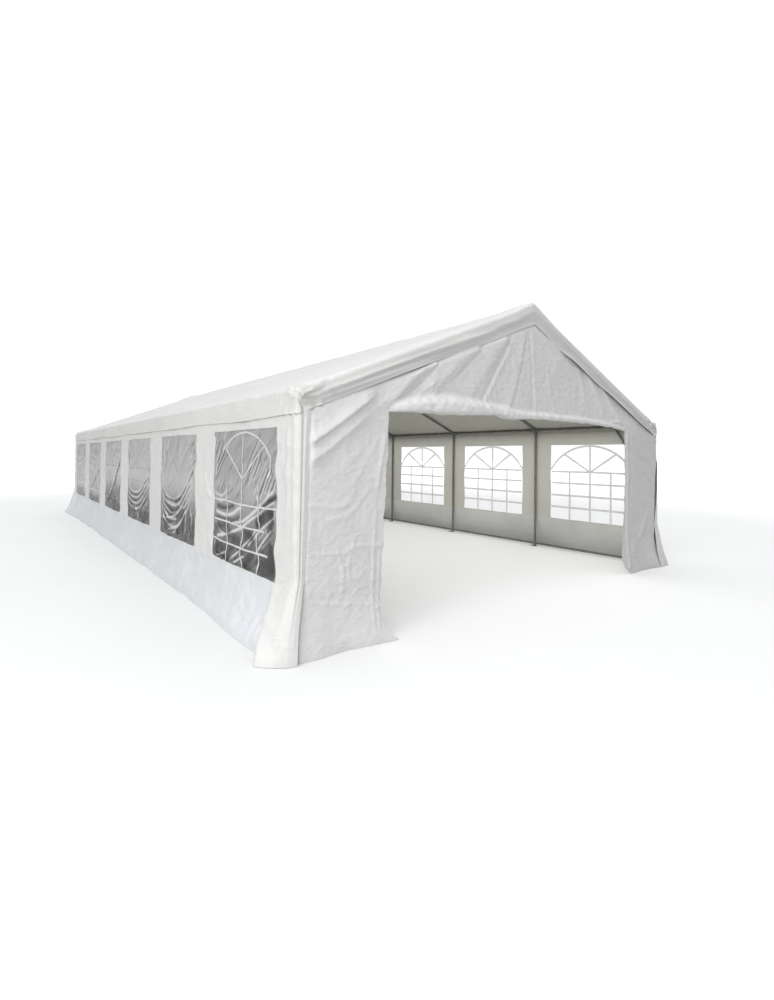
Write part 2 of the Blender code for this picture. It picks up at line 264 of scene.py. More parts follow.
def surface_normals(points):
    across = np.gradient(points, axis=1)
    down = np.gradient(points, axis=0)
    normal = np.cross(across, down)
    return normal / np.maximum(np.linalg.norm(normal, axis=-1, keepdims=True), 1e-9)


# Materials


class Nodes:
    """A node tree under construction."""

    def __init__(self, tree):
        self.tree = tree

    def feed(self, socket, value):
        if isinstance(value, bpy.types.NodeSocket):
            self.tree.links.new(value, socket)
        else:
            socket.default_value = value

    def add(self, kind, inputs=None, **settings):
        node = self.tree.nodes.new(kind)
        for key, value in settings.items():
            setattr(node, key, value)
        for socket, value in (inputs or {}).items():
            self.feed(node.inputs[socket], value)
        return node

    def math(self, operation, first, second, clamp=False):
        inputs = {0: first, 1: second}
        return self.add("ShaderNodeMath", inputs, operation=operation, use_clamp=clamp).outputs[0]

    def times(self, first, second):
        return self.math("MULTIPLY", first, second)

    def plus(self, first, second, clamp=False):
        return self.math("ADD", first, second, clamp)

    def for_camera(self):
        return self.add("ShaderNodeLightPath").outputs["Is Camera Ray"]


class Painter(Nodes):
    """A material under construction, in the object's own metres."""

    def __init__(self, name):
        self.material = bpy.data.materials.new(name)
        self.material.use_nodes = True
        super().__init__(self.material.node_tree)
        self.shader = self.tree.nodes["Principled BSDF"]
        self.place = self.add("ShaderNodeTexCoord").outputs["Object"]

    def set(self, **values):
        for title, value in values.items():
            self.feed(self.shader.inputs[title.replace("_", " ")], value)

    def noise(self, scale, detail=4.0, roughness=0.55, kind="FBM", distortion=0.0, place=None):
        inputs = {"Vector": place or self.place, "Scale": scale, "Detail": detail}
        inputs.update({"Roughness": roughness, "Distortion": distortion})
        return self.add("ShaderNodeTexNoise", inputs, noise_type=kind).outputs[0]

    def wave(self, axis, scale):
        inputs = {"Vector": self.place, "Scale": scale, "Distortion": 0.0, "Detail": 1.0}
        return self.add("ShaderNodeTexWave", inputs, bands_direction=axis, wave_profile="SIN").outputs["Fac"]

    def stretched(self, scale):
        return self.add("ShaderNodeMapping", {"Vector": self.place, "Scale": scale}).outputs[0]

    def distance(self, place):
        return self.add("ShaderNodeVectorMath", {0: place}, operation="LENGTH").outputs["Value"]

    def ranged(self, value, low, high, to_low=0.0, to_high=1.0):
        inputs = {"Value": value, "From Min": low, "From Max": high, "To Min": to_low, "To Max": to_high}
        return self.add("ShaderNodeMapRange", inputs, interpolation_type="SMOOTHSTEP").outputs[0]

    def along(self, axis):
        return self.add("ShaderNodeSeparateXYZ", {0: self.place}).outputs[axis]

    def uneven_height(self, scale, detail, amount):
        """Height above the ground, shifted by noise."""
        return self.plus(self.along("Z"), self.times(self.noise(scale, detail), amount))

    def attribute(self, title):
        return self.add("ShaderNodeAttribute", attribute_name=title).outputs["Fac"]

    def mix(self, share, first, second):
        node = self.add("ShaderNodeMix", {0: share}, data_type="RGBA")
        for socket, colour in ((node.inputs[6], first), (node.inputs[7], second)):
            self.feed(socket, (*colour, 1.0) if isinstance(colour, tuple) else colour)
        return node.outputs[2]

    def bump(self, height, distance, strength=1.0, normal=None):
        inputs = {"Height": height, "Distance": distance, "Strength": strength}
        if normal is not None:
            inputs["Normal"] = normal
        return self.add("ShaderNodeBump", inputs).outputs[0]


def scaled(colour, share):
    return tuple(channel * share for channel in colour)


def tarpaulin(name, colour, crinkle, band=None, painted_light_share=1.0, cloud=(0.955, 1.03)):
    """Woven polyethylene: flat tapes 3 mm wide under a satin coat, creased where it was folded.

    band colours a wall's lower band, cloudy between two shares of that colour. Where the attribute end is 1,
    the cloth is painted with the given share of its own colour: painted shade below 1, painted light above 1.
    """
    paint = Painter(name)
    soft = paint.noise(0.9, 5.0, 0.6)
    fine = paint.noise(7.0, 6.0, 0.6)
    base = paint.mix(paint.ranged(soft, 0.35, 0.65), scaled(colour, 0.965), scaled(colour, 1.02))
    base = paint.mix(paint.ranged(fine, 0.3, 0.7, 0.0, 0.25), base, scaled(colour, 0.9))
    if band:
        flap = WALL_END - FLAP_FOOT
        inner = paint.math("ABSOLUTE", paint.along("Y"), 0.0)
        inner = paint.plus(inner, paint.times(paint.along("Z"), FLAP_LEAN))
        low = paint.ranged(paint.uneven_height(1.6, 3.0, 0.05), 0.5, 0.56, 1.0, 0.0)
        low = paint.times(low, paint.ranged(inner, flap - 0.05, flap, 1.0, 0.0))
        cloudy = paint.ranged(paint.noise(1.1, 4.0, 0.65), 0.36, 0.66)
        base = paint.mix(low, base, paint.mix(cloudy, scaled(band, cloud[0]), scaled(band, cloud[1])))
    # Painted shade where the share is below 1 and painted light where it is above, where the attribute end is
    # 1
    if painted_light_share != 1:
        base = paint.mix(paint.attribute("end"), base, scaled(colour, painted_light_share))
    dust = paint.uneven_height(5.0, 4.0, 0.1)
    base = paint.mix(paint.ranged(dust, 0.04, 0.16, 0.22, 0.0), base, scaled(colour, 0.66))
    weave = paint.plus(paint.plus(paint.wave("X", TAPES), paint.wave("Y", TAPES)), paint.wave("Z", TAPES))
    level = paint.stretched((0.6, 0.6, 1.5))
    ridges = paint.noise(11.0, 5.0, 0.55, "RIDGED_MULTIFRACTAL", 0.6, level)
    dents = paint.noise(26.0, 4.0, 0.5, place=level)
    crumple = paint.noise(30.0, 4.0, 0.6, "RIDGED_MULTIFRACTAL", 1.2, level)
    normal = paint.bump(weave, 0.00025, 0.5)
    for relief, depth, strength in ((crumple, 0.0014, 0.7), (dents, 0.0022, 0.6), (ridges, 0.0034, 0.8)):
        normal = paint.bump(relief, depth * crinkle, strength, normal)
    paint.set(Base_Color=base, Roughness=paint.ranged(fine, 0.2, 0.8, 0.42, 0.58), Normal=normal)
    paint.set(Specular_IOR_Level=0.35, Sheen_Weight=0.08, Sheen_Roughness=0.4)
    return paint.material


def window_film(name, colour, low_colour, alpha, haze):
    """Clear soft film, a little milky, with fine streaks that run down and back from its front edge.

    Attributes lay painted light over its folds: painted highlights on their crests, painted shade in their
    hollows, and some windows painted paler all over. Its colour is painted darker towards the bottom as
    painted shade, and lighter and darker along its streaks as painted highlights and shade.
    """
    paint = Painter(name)
    crest_highlight = paint.attribute("crest_highlight")
    inputs = {"Vector": paint.place, "Rotation": (math.radians(-39), 0, 0), "Scale": (1.0, 7.0, 1.0)}
    slanted = paint.add("ShaderNodeMapping", inputs, vector_type="TEXTURE").outputs[0]
    streaks = paint.noise(26.0, 4.0, 0.65, place=slanted)
    # Painted shade towards the bottom, and painted highlights and shade along the streaks
    base = paint.mix(paint.ranged(paint.along("Z"), 0.6, 1.25), low_colour, colour)
    base = paint.mix(paint.ranged(streaks, 0.5, 0.8, 0.0, 0.45), base, scaled(colour, 1.5))
    base = paint.mix(paint.ranged(streaks, 0.46, 0.22, 0.0, 0.55), base, scaled(low_colour, 0.7))
    # Painted light on pale windows, painted shade in the hollows, painted highlights on the crests, which are
    # also more opaque
    base = paint.mix(paint.attribute("pale_light"), base, scaled(colour, 1.55))
    base = paint.mix(paint.times(paint.attribute("hollow_shade"), 0.95), base, scaled(low_colour, 0.3))
    base = paint.mix(paint.times(crest_highlight, 0.9), base, scaled(colour, 1.8))
    cloudy = paint.ranged(paint.noise(3.0, 4.0), 0.3, 0.7, alpha, min(1.0, alpha + haze))
    cloudy = paint.plus(cloudy, paint.times(crest_highlight, 0.5), True)
    normal = paint.bump(streaks, 0.005, 0.7)
    normal = paint.bump(paint.noise(30.0, 3.0), 0.001, 0.5, normal)
    paint.set(Base_Color=base, Alpha=cloudy, Normal=normal, Roughness=0.25, Specular_IOR_Level=0.3)
    return paint.material


def bar_plastic(name, colour, alpha):
    """The white strips welded on the film as window bars."""
    paint = Painter(name)
    worn = paint.noise(40.0, 5.0)
    base = paint.mix(paint.ranged(worn, 0.3, 0.7), scaled(colour, 0.9), scaled(colour, 1.1))
    normal = paint.bump(paint.noise(160.0, 3.0), 0.0006, 0.5)
    paint.set(Base_Color=base, Normal=normal, Roughness=paint.ranged(worn, 0.2, 0.8, 0.35, 0.5), Alpha=alpha)
    return paint.material


def steel():
    """Dull zinc on steel tube: spangle, darker clouds and lighter scuffs."""
    paint = Painter("galvanised_steel")
    spangle = paint.add("ShaderNodeTexVoronoi", {"Vector": paint.place, "Scale": 130.0}).outputs["Distance"]
    cloud = paint.noise(9.0, 5.0)
    scuff = paint.noise(38.0, 6.0, 0.7)
    # Zinc colours, painted darker than bare zinc as painted shade
    base = paint.mix(paint.ranged(spangle, 0.1, 0.8), (0.19, 0.19, 0.175), (0.27, 0.27, 0.255))
    base = paint.mix(paint.ranged(cloud, 0.35, 0.75, 0.0, 0.6), base, (0.14, 0.14, 0.13))
    base = paint.mix(paint.ranged(scuff, 0.62, 0.8, 0.0, 0.5), base, (0.33, 0.33, 0.32))
    rough = paint.ranged(cloud, 0.3, 0.7, 0.36, 0.56)
    normal = paint.bump(scuff, 0.0006, 0.5)
    paint.set(Base_Color=base, Roughness=rough, Normal=normal, Metallic=0.65)
    return paint.material


# Scale of the weave's wave texture, which then makes a band every 3 mm
TAPES = 105.0

WHITE = (0.63, 0.63, 0.615)
FRONT_WHITE = (0.625, 0.625, 0.615)
# The inner faces are the same white cloth, painted darker and more olive than the outer faces: painted shade
INNER = (0.5, 0.49, 0.425)
# The roof cloth is painted darker on its gable valances, where the attribute end is 1: painted shade
ROOF_CLOTH = tarpaulin("roof_cloth", WHITE, 1.5, painted_light_share=0.86)
WALL_CLOTH = tarpaulin("wall_cloth", WHITE, 1.8, band=(0.605, 0.617, 0.64))
# The front cloth is painted lighter where the attribute end is 1, over the rolled door: painted light
FRONT_CLOTH = tarpaulin("front_cloth", FRONT_WHITE, 2.0, painted_light_share=1.05)
# The right panel's cloth is painted darker where the attribute end is 1: painted shade
RIGHT_CLOTH = tarpaulin("right_panel_cloth", FRONT_WHITE, 2.0, painted_light_share=0.855)
INNER_CLOTH = tarpaulin("inner_cloth", INNER, 0.9)
# The inner wall is painted at 0.35 of its colour where the attribute end is 1, at the right front corner:
# painted shade
INNER_WALL = tarpaulin("inner_wall", (0.465, 0.462, 0.415), 0.9, (0.5, 0.5, 0.48), 0.35, (0.94, 1.05))
LEFT_FILM = window_film("creased_film", (0.336, 0.338, 0.333), (0.053, 0.056, 0.049), 0.9, 0.1)
RIGHT_FILM = window_film("clear_film", (0.46, 0.47, 0.47), (0.44, 0.45, 0.45), 0.03, 0.05)
LEFT_BARS = bar_plastic("bar_plastic", (0.57, 0.57, 0.6), 1.0)
HAZY_BARS = bar_plastic("hazy_bar_plastic", (0.54, 0.54, 0.55), 0.6)
FAINT_BARS = bar_plastic("faint_bar_plastic", (0.6, 0.6, 0.61), 0.15)
RIGHT_BARS = bar_plastic("backlit_bar_plastic", (0.62, 0.62, 0.615), 0.94)
STEEL = steel()


def place_piece(obj, slot, *nodes):
    """Puts a piece on the tent, in place of the CAD nodes that it stands for. The slot is not used."""
    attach(obj, "root")
    if nodes:
        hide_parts(*nodes)


# Roof cover


def roof_section():
    """The cover's section across the tent: X, Z and how level each point is, from left hem to right hem."""
    shoulder_z = RIDGE_TOP - HALF_WIDTH * RISE
    centre_x = HALF_WIDTH - EAVE_ROUNDING
    centre_z = shoulder_z - EAVE_ROUNDING / math.tan((math.pi / 2 + SLOPE) / 2)
    hang = np.linspace(VALANCE_Z, centre_z, 9)[:-1]
    right = [(HALF_WIDTH, z, 0.0) for z in hang]
    for angle in np.linspace(0.0, math.pi / 2 - SLOPE, 6):
        x = centre_x + EAVE_ROUNDING * math.cos(angle)
        z = centre_z + EAVE_ROUNDING * math.sin(angle)
        right.append((x, z, math.sin(angle) / math.cos(SLOPE)))
    x_top, z_top = right[-1][:2]
    for share in np.linspace(0.0, 1.0, 85)[1:-1] ** 1.35:
        right.append((x_top * (1 - share), z_top + (RIDGE_TOP - z_top) * share, 1.0))
    left = [(-x, z, level) for x, z, level in right]
    return np.array([*left, (0.0, RIDGE_TOP - 0.002, 1.0), *reversed(right)])


def roof_rows():
    """Rows along the tent: Y, how far turned over a gable's edge, how far down it, and at which end."""
    valance = [(-HALF_LENGTH, 1.0, share) for share in np.linspace(1.0, 0.0, 12)[:-1]]
    turned = [(0.0, turn, 0.0) for turn in np.linspace(1.0, 0.0, 6)]
    inner = HALF_LENGTH - EDGE_ROUNDING
    near = 5.35
    places = joined(spaced(-inner, -near, 0.018), spaced(-near, near, ROOF_CELL), spaced(near, inner, 0.024))
    flat = [(y, 0.0, 0.0) for y in places[1:-1]]
    front = [*valance, *turned]
    back = [(-y, turn, share) for y, turn, share in reversed(front)]
    ends = np.array([-1.0] * len(front) + [0.0] * len(flat) + [1.0] * len(back))
    return np.array([*front, *flat, *back]), ends


def between_posts(y):
    """0 at each pair of posts, and 1 midway between two pairs."""
    return np.sin(math.pi * np.clip((y + POST_Y) / BAY, 0, BAYS)) ** 2


def slope_lift(x, y):
    """How far the slopes lie off their planes: sagging between the rafters, with ripples and creases."""
    across = x * 0.6
    up = np.clip(1 - np.abs(x) / HALF_WIDTH, 0, 1)
    bay = np.floor(np.clip((y + POST_Y) / BAY, 0, BAYS - 1))
    sag = -0.03 * between_posts(y) * np.sin(math.pi * up) ** 0.8
    sag *= 1 + 0.25 * np.sin(1.7 * bay + np.sign(x))
    lift = sag + ripples(y, across, 11, 0.0035, (0.35, 0.9), 0, 25) * up**0.3
    lift += 0.006 * (np.abs(creases(y, across, 12, 1.0, (0.5, 1.2), 10, 30)))
    near_gable = np.abs(y) - 5.0
    return lift + smooth(near_gable / 0.75) * 0.007 * np.sin(near_gable * 26) * np.sin(math.pi * up) ** 0.5


def eave_bunching(x, y, z):
    """Small gathers where the cover bends over the eaves."""
    across = x * 0.6
    eave = bell((HALF_WIDTH - np.abs(x)) / 0.16) * smooth((z - 1.93) / 0.08)
    bunched = ripples(y, across, 13, 0.0085, (0.16, 0.7), 0, 25)
    bunched = bunched + creases(y, across, 14, 0.01, (0.2, 0.6), 20, 40)
    return np.maximum(bunched * eave * smooth((HALF_LENGTH - np.abs(y)) / 0.3), -0.003)


# Folds of a gable valance: paths in X and in metres below the gable's edge
VALANCE_FOLDS = [
    ([(-2.85, 0.06), (-1.4, 0.075), (-0.2, 0.09)], 0.03, 0.026, (0.05, 0.3), 1.5, 0.4),
    ([(-2.8, 0.13), (-1.8, 0.14), (-0.9, 0.155)], 0.026, 0.022, (0.05, 0.3), 1.5, 0.4),
    ([(-1.3, 0.045), (-0.6, 0.05), (-0.1, 0.12)], 0.022, 0.014, (0.2, 0.2), 1.5, 0.5),
    ([(2.8, 0.08), (1.3, 0.08), (0.2, 0.06)], 0.03, 0.02, (0.1, 0.2), 1.5, 0.4),
    ([(2.8, 0.14), (2.1, 0.15), (1.5, 0.15)], 0.022, 0.016, (0.1, 0.2), 1.5, 0.5),
    ([(0.45, 0.21), (1.0, 0.2), (1.7, 0.21)], 0.05, 0.026, (0.3, 0.3)),
    ([(1.3, 0.2), (1.9, 0.21), (2.5, 0.2), (2.85, 0.21)], 0.05, 0.024, (0.2, 0.1)),
    ([(0.45, 0.2), (1.6, 0.2), (2.8, 0.2)], 0.03, 0.01, (0.1, 0.1)),
    ([(-2.6, 0.21), (-2.0, 0.2), (-1.5, 0.21)], 0.04, 0.014, (0.3, 0.3)),
]


def gable_valance(x, drop):
    """Long soft creases on the gable valances, which run with the slope."""
    below = drop * VALANCE_DEPTH
    travel = np.abs(x) / math.cos(SLOPE)
    flow = ripples(travel + below * 2, below * 9, 21, 0.006, (0.7, 1.6), 30, 30)
    flow += creases(travel, below * 6, 22, 0.007, (0.5, 1.3), 80, 25)
    for row in VALANCE_FOLDS:
        flow += fold(x, below, *row)
    loose = smooth(drop / 0.35) * smooth((HALF_WIDTH - np.abs(x)) / 0.3)
    return 0.004 * loose + np.maximum(flow, -0.002) * loose


def side_valance(y, z, hang):
    """Soft waves in the valances along the eaves."""
    wavy = 0.003 + 0.006 * between_posts(y) + ripples(y, z, 31, 0.003, (0.25, 0.8), 0, 25)
    wavy += creases(y, z * 1.5, 32, 0.004, (0.4, 1.0), 20, 40)
    wavy *= smooth((HALF_LENGTH - np.abs(y)) / 0.3)
    return np.maximum(wavy, 0.0) * smooth(hang * 1.5)


def corner_gathers(x, y, drop, side, hang):
    """Gathers that fan out where the cover is tied down at its corners."""
    total = np.zeros(x.shape)
    for corner_x, corner_y in ((-1, -1), (-1, 1), (1, -1), (1, 1)):
        away_x = HALF_WIDTH - corner_x * x
        away_y = HALF_LENGTH - corner_y * y
        second = np.where(drop > 0, drop * VALANCE_DEPTH, np.where(side, hang * 0.17, away_y))
        first = np.where(side & ~(drop > 0), away_y, away_x)
        distance = np.hypot(first, second)
        angle = np.arctan2(second, first)
        gather = 0.008 + 0.016 * np.cos(angle * 13 + 7 * np.sin(distance * 9) + corner_x)
        gather *= smooth(distance / 0.05) * (1 - smooth((distance - 0.05) / 0.4))
        gather *= smooth(np.minimum(first, second + 0.02) / 0.02)
        quadrant = (corner_x * x > 0) & (corner_y * y > 0)
        total += np.where(quadrant, np.maximum(gather, -0.0015), 0.0)
    return total


def roof_cover():
    """The cover: its section swept along the tent, turned down at both gables, and then given its folds."""
    section = roof_section()
    rows, ends = roof_rows()
    x, level, turn, drop, end = np.broadcast_arrays(
        section[:, 0], section[:, 2], rows[:, 1:2] * math.pi / 2, rows[:, 2:3], ends[:, None]
    )
    inner = HALF_LENGTH - EDGE_ROUNDING
    reach = EDGE_ROUNDING * (np.sin(turn) * level + turn / (math.pi / 2) * (1 - level))
    y = np.where(end == 0, rows[:, 0:1], end * (inner + reach))
    z = section[:, 1] - EDGE_ROUNDING * (1 - np.cos(turn)) * level
    hem = valance_line(x)
    hem = hem + 0.008 * np.sin(x * 3.1 + 0.6) * np.sin(np.abs(x) / HALF_WIDTH * math.pi)
    hem = hem - 0.035 * smooth(x / 0.6) * smooth((HALF_WIDTH - x) / 0.5) * (end < 0)
    z = z + (hem - z) * drop
    points = np.stack([x, y, z], -1)
    normal = surface_normals(points)
    normal *= np.sign((normal * np.array([0.0, 0.0, 1.0]) + normal * points * [1, 0, 0]).sum(-1))[..., None]
    normal = np.where((drop > 0)[..., None], np.stack([0 * x, end, 0 * x], -1), normal)

    side = level == 0
    hang = np.where(side, (EAVE_Z - z) / (EAVE_Z - VALANCE_Z), 0.0)
    open_slope = smooth(level * 2 - 1) * (drop == 0) * (1 - smooth(turn / 0.8))
    height = slope_lift(x, y) * open_slope * smooth((HALF_LENGTH - 0.02 - np.abs(y)) / 0.25)
    height = height + np.where(drop == 0, eave_bunching(x, y, z), 0.0)
    height = height + np.where(drop > 0, gable_valance(x, drop), 0.0)
    height = height + np.where(side, side_valance(y, z, hang), 0.0)
    height = height + corner_gathers(x, y, drop, side, hang)
    points = points + normal * height[..., None]
    ridge_end = bell(x / 0.28) * smooth((np.abs(y) - 5.1) / 0.7)
    points[..., 2] += 0.03 * ridge_end * (1 - drop)
    droop = 0.01 * between_posts(y) * hang + 0.004 * np.sin(y * 2.3) * hang
    points[..., 2] -= droop * smooth((HALF_LENGTH - np.abs(y)) / 0.3)

    # the gable valances end at the eaves
    first_level = int(np.argmax(section[:, 2] > 0)) - 1
    column = np.arange(len(section) - 1)
    past_eaves = (column < first_level) | (column >= len(section) - 1 - first_level)
    turned_rows = (rows[:-1, 2] > 0) | (rows[1:, 2] > 0)
    keep = ~(turned_rows[:, None] & past_eaves)
    # Painted shade: the attribute end darkens the gable valances, half as much at their hems
    shade = {"end": smooth(drop / 0.3) * (1 - 0.5 * smooth((drop - 0.86) / 0.02))}
    cover = face_out(grid_object("cover", points, keep, weld=True, attributes=shade), (0, 0, 1))
    thicken(cover, CLOTH, ROOF_CLOTH, INNER_CLOTH)
    place_piece(cover, "tarpaulin", "roof_cover")


# Side walls


def hem_reach(side, run):
    """How far the skirt stands out at the ground, across and along, by the distance from the front corner."""
    if side < 0:
        places = [-0.14, -0.06, 0.0, 0.11, 0.15, 0.9, 2.25, 3.6, 5.9, 8.0, 10.0, 11.4, 11.7, 11.79, 11.93]
        across = [0.165, 0.16, 0.17, 0.272, 0.185, 0.165, 0.12, 0.12]
        across += [0.13, 0.12, 0.14, 0.19, 0.22, 0.17, 0.12]
        along = [0.105, 0.085, 0.05, 0.03, *[0.0] * 8, 0.02, 0.03, 0.08]
    else:
        places = [-0.05, 0.0, 0.1, 0.35, 1.2, 3.0, 4.5, 6.5, 8.5, 10.2, 11.4, 11.7, 11.79, 11.93]
        across = [0.22, 0.26, 0.25, 0.18, 0.12, 0.15, 0.1, 0.14, 0.12, 0.15, 0.17, 0.22, 0.17, 0.12]
        along = [0.09, 0.06, 0.05, *[0.0] * 8, 0.02, 0.03, 0.08]
    return np.interp(run, places, across), np.interp(run, places, along)


def flap_width(side, z):
    """Width of a side wall's flap on the front, by height. The right one leaves a slit half-way up."""
    if side < 0:
        shares = [1.0, 0.74, 0.62, 0.52, 0.63, 0.75, 0.82]
        return FRONT_RETURN[-1] * np.interp(z, [0.0, 0.24, 0.47, 0.62, 0.93, 1.4, 1.9], shares)
    widths = [FRONT_RETURN[1], 0.185, 0.05, 0.012, 0.006, 0.03, 0.1]
    return np.interp(z, [0.1, 0.3, 0.83, 1.1, 1.46, 1.52, 1.66], widths)


def corner_flap(run, z, reach):
    """Turns the skirt at the left corner into a flat flap, up to a crease that climbs to the first window."""
    crease = FLAP_FOOT + FLAP_LEAN * z
    top = 0.6 - 0.1 * smooth((run - 0.05) / 0.2)
    spread = np.clip((top - z) / (top - HEM_Z), 0, 1)
    tip = 0.285 * spread
    post = 0.17 * spread
    inside = post + (tip - post) * np.clip(run / crease, 0, 1)
    outside = tip + (reach - tip) * smooth((run - crease) / 0.1)
    return np.where(run < crease, inside, outside)


def wall_billow(side, y, z):
    """How far a side wall stands out from its straight line, above the skirt."""
    seed = 40 if side < 0 else 60
    out = 0.004 * between_posts(y)
    out = out + ripples(y, z, seed, 0.0022, (0.25, 0.9), 0, 60)
    out = out + creases(y, z, seed + 2, 0.0045, (0.35, 0.9), 30, 60)
    if side < 0:
        low = smooth((0.62 - z) / 0.12)
        out = out + ripples(y, z * 1.4, seed + 5, 0.0028, (0.12, 0.5), 0, 70) * (1 + 0.6 * low)
        out = out + creases(y, z, seed + 7, 0.01, (0.14, 0.45), 45, 50) * (1 + 0.2 * low)
    top = smooth((VALANCE_Z + 0.03 - z) / 0.12)
    out = 0.0012 + np.maximum(out, -0.001) * top
    if side < 0:
        pleats = [
            ([(-5.76, 1.8), (-5.76, 1.3), (-5.74, 0.9)], 0.02, 0.008, (0.1, 0.4), 2.0),
            ([(-4.16, 1.4), (-4.02, 1.1), (-3.86, 0.86)], 0.03, 0.016),
            ([(-4.15, 1.05), (-4.0, 1.2), (-3.88, 1.4)], 0.024, 0.014),
            ([(-2.2, 0.7), (-2.02, 1.1)], 0.018, 0.008),
        ]
        out = out + folds(y, z, pleats) * top
    return out


def corner_pleats(side, run, z):
    """Upright pleats in the cloth that wraps round a corner post, by the distance from the front corner."""
    seen = [
        ([(0.004, 1.86), (0.006, 1.0), (0.012, 0.55)], 0.009, -0.005, (0.02, 0.3)),
        ([(0.04, 1.86), (0.038, 1.1), (0.05, 0.62)], 0.02, 0.008, (0.03, 0.5)),
        ([(-0.032, 1.86), (-0.036, 1.0), (-0.045, 0.05)], 0.018, 0.009, (0.02, 0.1)),
        ([(-0.064, 1.86), (-0.058, 1.1), (-0.066, 0.35)], 0.008, -0.006, (0.02, 0.3)),
        ([(-0.092, 1.86), (-0.085, 1.0), (-0.1, 0.05)], 0.022, 0.006, (0.02, 0.1)),
        ([(0.04, 0.6), (0.055, 0.33), (0.05, 0.01)], 0.02, 0.006, (0.3, 0.01)),
        ([(-0.01, 0.55), (0.0, 0.3), (0.02, 0.02)], 0.016, -0.008, (0.3, 0.2)),
    ]
    plain = [
        ([(0.035, 1.86), (0.04, 1.0), (0.06, 0.1)], 0.018, 0.012, (0.02, 0.3)),
        ([(-0.045, 1.86), (-0.04, 0.9), (-0.06, 0.05)], 0.016, 0.01, (0.02, 0.1)),
    ]
    front = folds(run, z, seen if side < 0 else plain[:1])
    back = folds(WALL_LENGTH - run, z, plain)
    return np.maximum(front * (0.5 + 0.5 * smooth((z - 0.25) / 0.4)) + back, -0.008)


def wall_shift(side, y, z):
    """How far the cloth round a window is drawn in or out along the wall, in Y and Z."""
    seed = 50 if side < 0 else 70
    amount = 0.013 if side < 0 else 0.0035
    drawn = np.zeros(y.shape)
    sagging = np.zeros(y.shape)
    for number, start in enumerate(WINDOW_Y):
        for edge, sign in ((start, 1), (start + WINDOW_WIDTH, -1)):
            near = bell((y - edge) / 0.12)
            inside = smooth((z - WINDOW_SILL + 0.1) / 0.2) * smooth((WINDOW_HEAD + 0.05 - z) / 0.2)
            wave = np.sin(z * 9.0 + number * 2.1 + sign) + 0.6 * np.sin(z * 19.0 + number)
            drawn += sign * amount * near * inside * wave
        across = smooth((y - start + 0.1) / 0.3) * smooth((start + WINDOW_WIDTH + 0.1 - y) / 0.3)
        low = bell((z - WINDOW_SILL) / 0.12)
        sagging += -amount * across * low * (0.8 + 0.4 * math.sin(number * 1.9))
    sagging += ripples(y, z, seed, amount * 0.3, (0.3, 0.8))
    return drawn, sagging * smooth((z - HEM_Z) / 0.2) * smooth((WALL_TOP - z) / 0.2)


def wall_places(side):
    """Grid places along a side wall, from its front flap to its back flap, some on the windows' edges."""
    marks = [0.0, 0.05]
    for start in WINDOW_Y:
        marks += [start + WALL_END, start + WINDOW_WIDTH + WALL_END]
    marks += [WALL_LENGTH - 0.05, WALL_LENGTH]
    corner_cell, wall_cell = (0.009, WALL_CELL) if side < 0 else (0.014, RIGHT_WALL_CELL)
    cells = [0.008, corner_cell, *[wall_cell] * (len(marks) - 4), 0.01]
    runs = [spaced(low, high, cell) for low, high, cell in zip(marks, marks[1:], cells)]
    back = spaced(WALL_LENGTH, WALL_LENGTH + BACK_RETURN, 0.014)
    return joined(spaced(-FRONT_RETURN[side], 0.0, 0.0075), *runs, back)


WALL_HEIGHTS = joined(
    spaced(HEM_Z, 0.1, 0.016),
    spaced(0.1, WINDOW_SILL, 0.022),
    spaced(WINDOW_SILL, WINDOW_HEAD, 0.022),
    spaced(WINDOW_HEAD, WALL_TOP, 0.026),
)


def round_corners(side, run, z):
    """X and Y of a side wall that turns round the corner posts, and how far it is past its straight part."""
    straight = np.clip(run, CORNER_ROUNDING, WALL_LENGTH - CORNER_ROUNDING)
    beyond = run - straight
    on_end = np.abs(beyond) > CORNER_ROUNDING
    turn = np.clip(beyond / CORNER_ROUNDING, -1, 1) * math.pi / 4
    bent = -WALL_END + straight + np.sign(beyond) * CORNER_ROUNDING * np.sin(np.abs(turn))
    wrap = np.maximum(np.abs(beyond) - CORNER_ROUNDING, 0.0)
    wrap = np.where(run < 0, wrap * flap_width(side, z) / FRONT_RETURN[side], wrap)
    y = np.where(on_end, np.sign(beyond) * WALL_END, bent)
    x = np.where(on_end, WALL_FACE - wrap, WALL_FACE - CORNER_ROUNDING * (1 - np.cos(turn)))
    return x, y, beyond


def skirt_reach(side, run, z):
    """How far the skirt stands out, across and along the tent, and its share of that at the hem."""
    at_corner = smooth((0.45 - np.minimum(run, WALL_LENGTH - run)) / 0.35)
    top = 0.5 + 0.12 * at_corner
    share = np.clip((top - z) / (top - HEM_Z), 0, 1) ** (1.7 - 0.5 * at_corner)
    across, along = hem_reach(side, run)
    wave = 1 + 0.035 * np.sin(run * 2.9) + 0.025 * np.sin(run * 7.3 + 1.0)
    wave = np.where((run > 0.5) & (run < WALL_LENGTH - 0.5), wave, 1.0)
    reach = across * share * wave
    if side < 0:
        reach = corner_flap(run, z, reach)
    else:
        slack = smooth((z - 0.2) / 0.3) * smooth((1.64 - z) / 0.22) * smooth((0.3 - run) / 0.25)
        reach = reach + 0.04 * slack
    return reach, np.sign(run - WALL_LENGTH / 2) * along * share, share


def window_cells(run):
    """Which cells of a side wall's grid are cloth and not window."""
    middle = (run[:-1] + run[1:]) / 2 - WALL_END
    level = (WALL_HEIGHTS[:-1] + WALL_HEIGHTS[1:]) / 2
    in_window = np.zeros(len(middle), bool)
    for start in WINDOW_Y:
        in_window |= (middle > start) & (middle < start + WINDOW_WIDTH)
    opening = (level > WINDOW_SILL) & (level < WINDOW_HEAD)
    return ~(opening[:, None] & in_window)


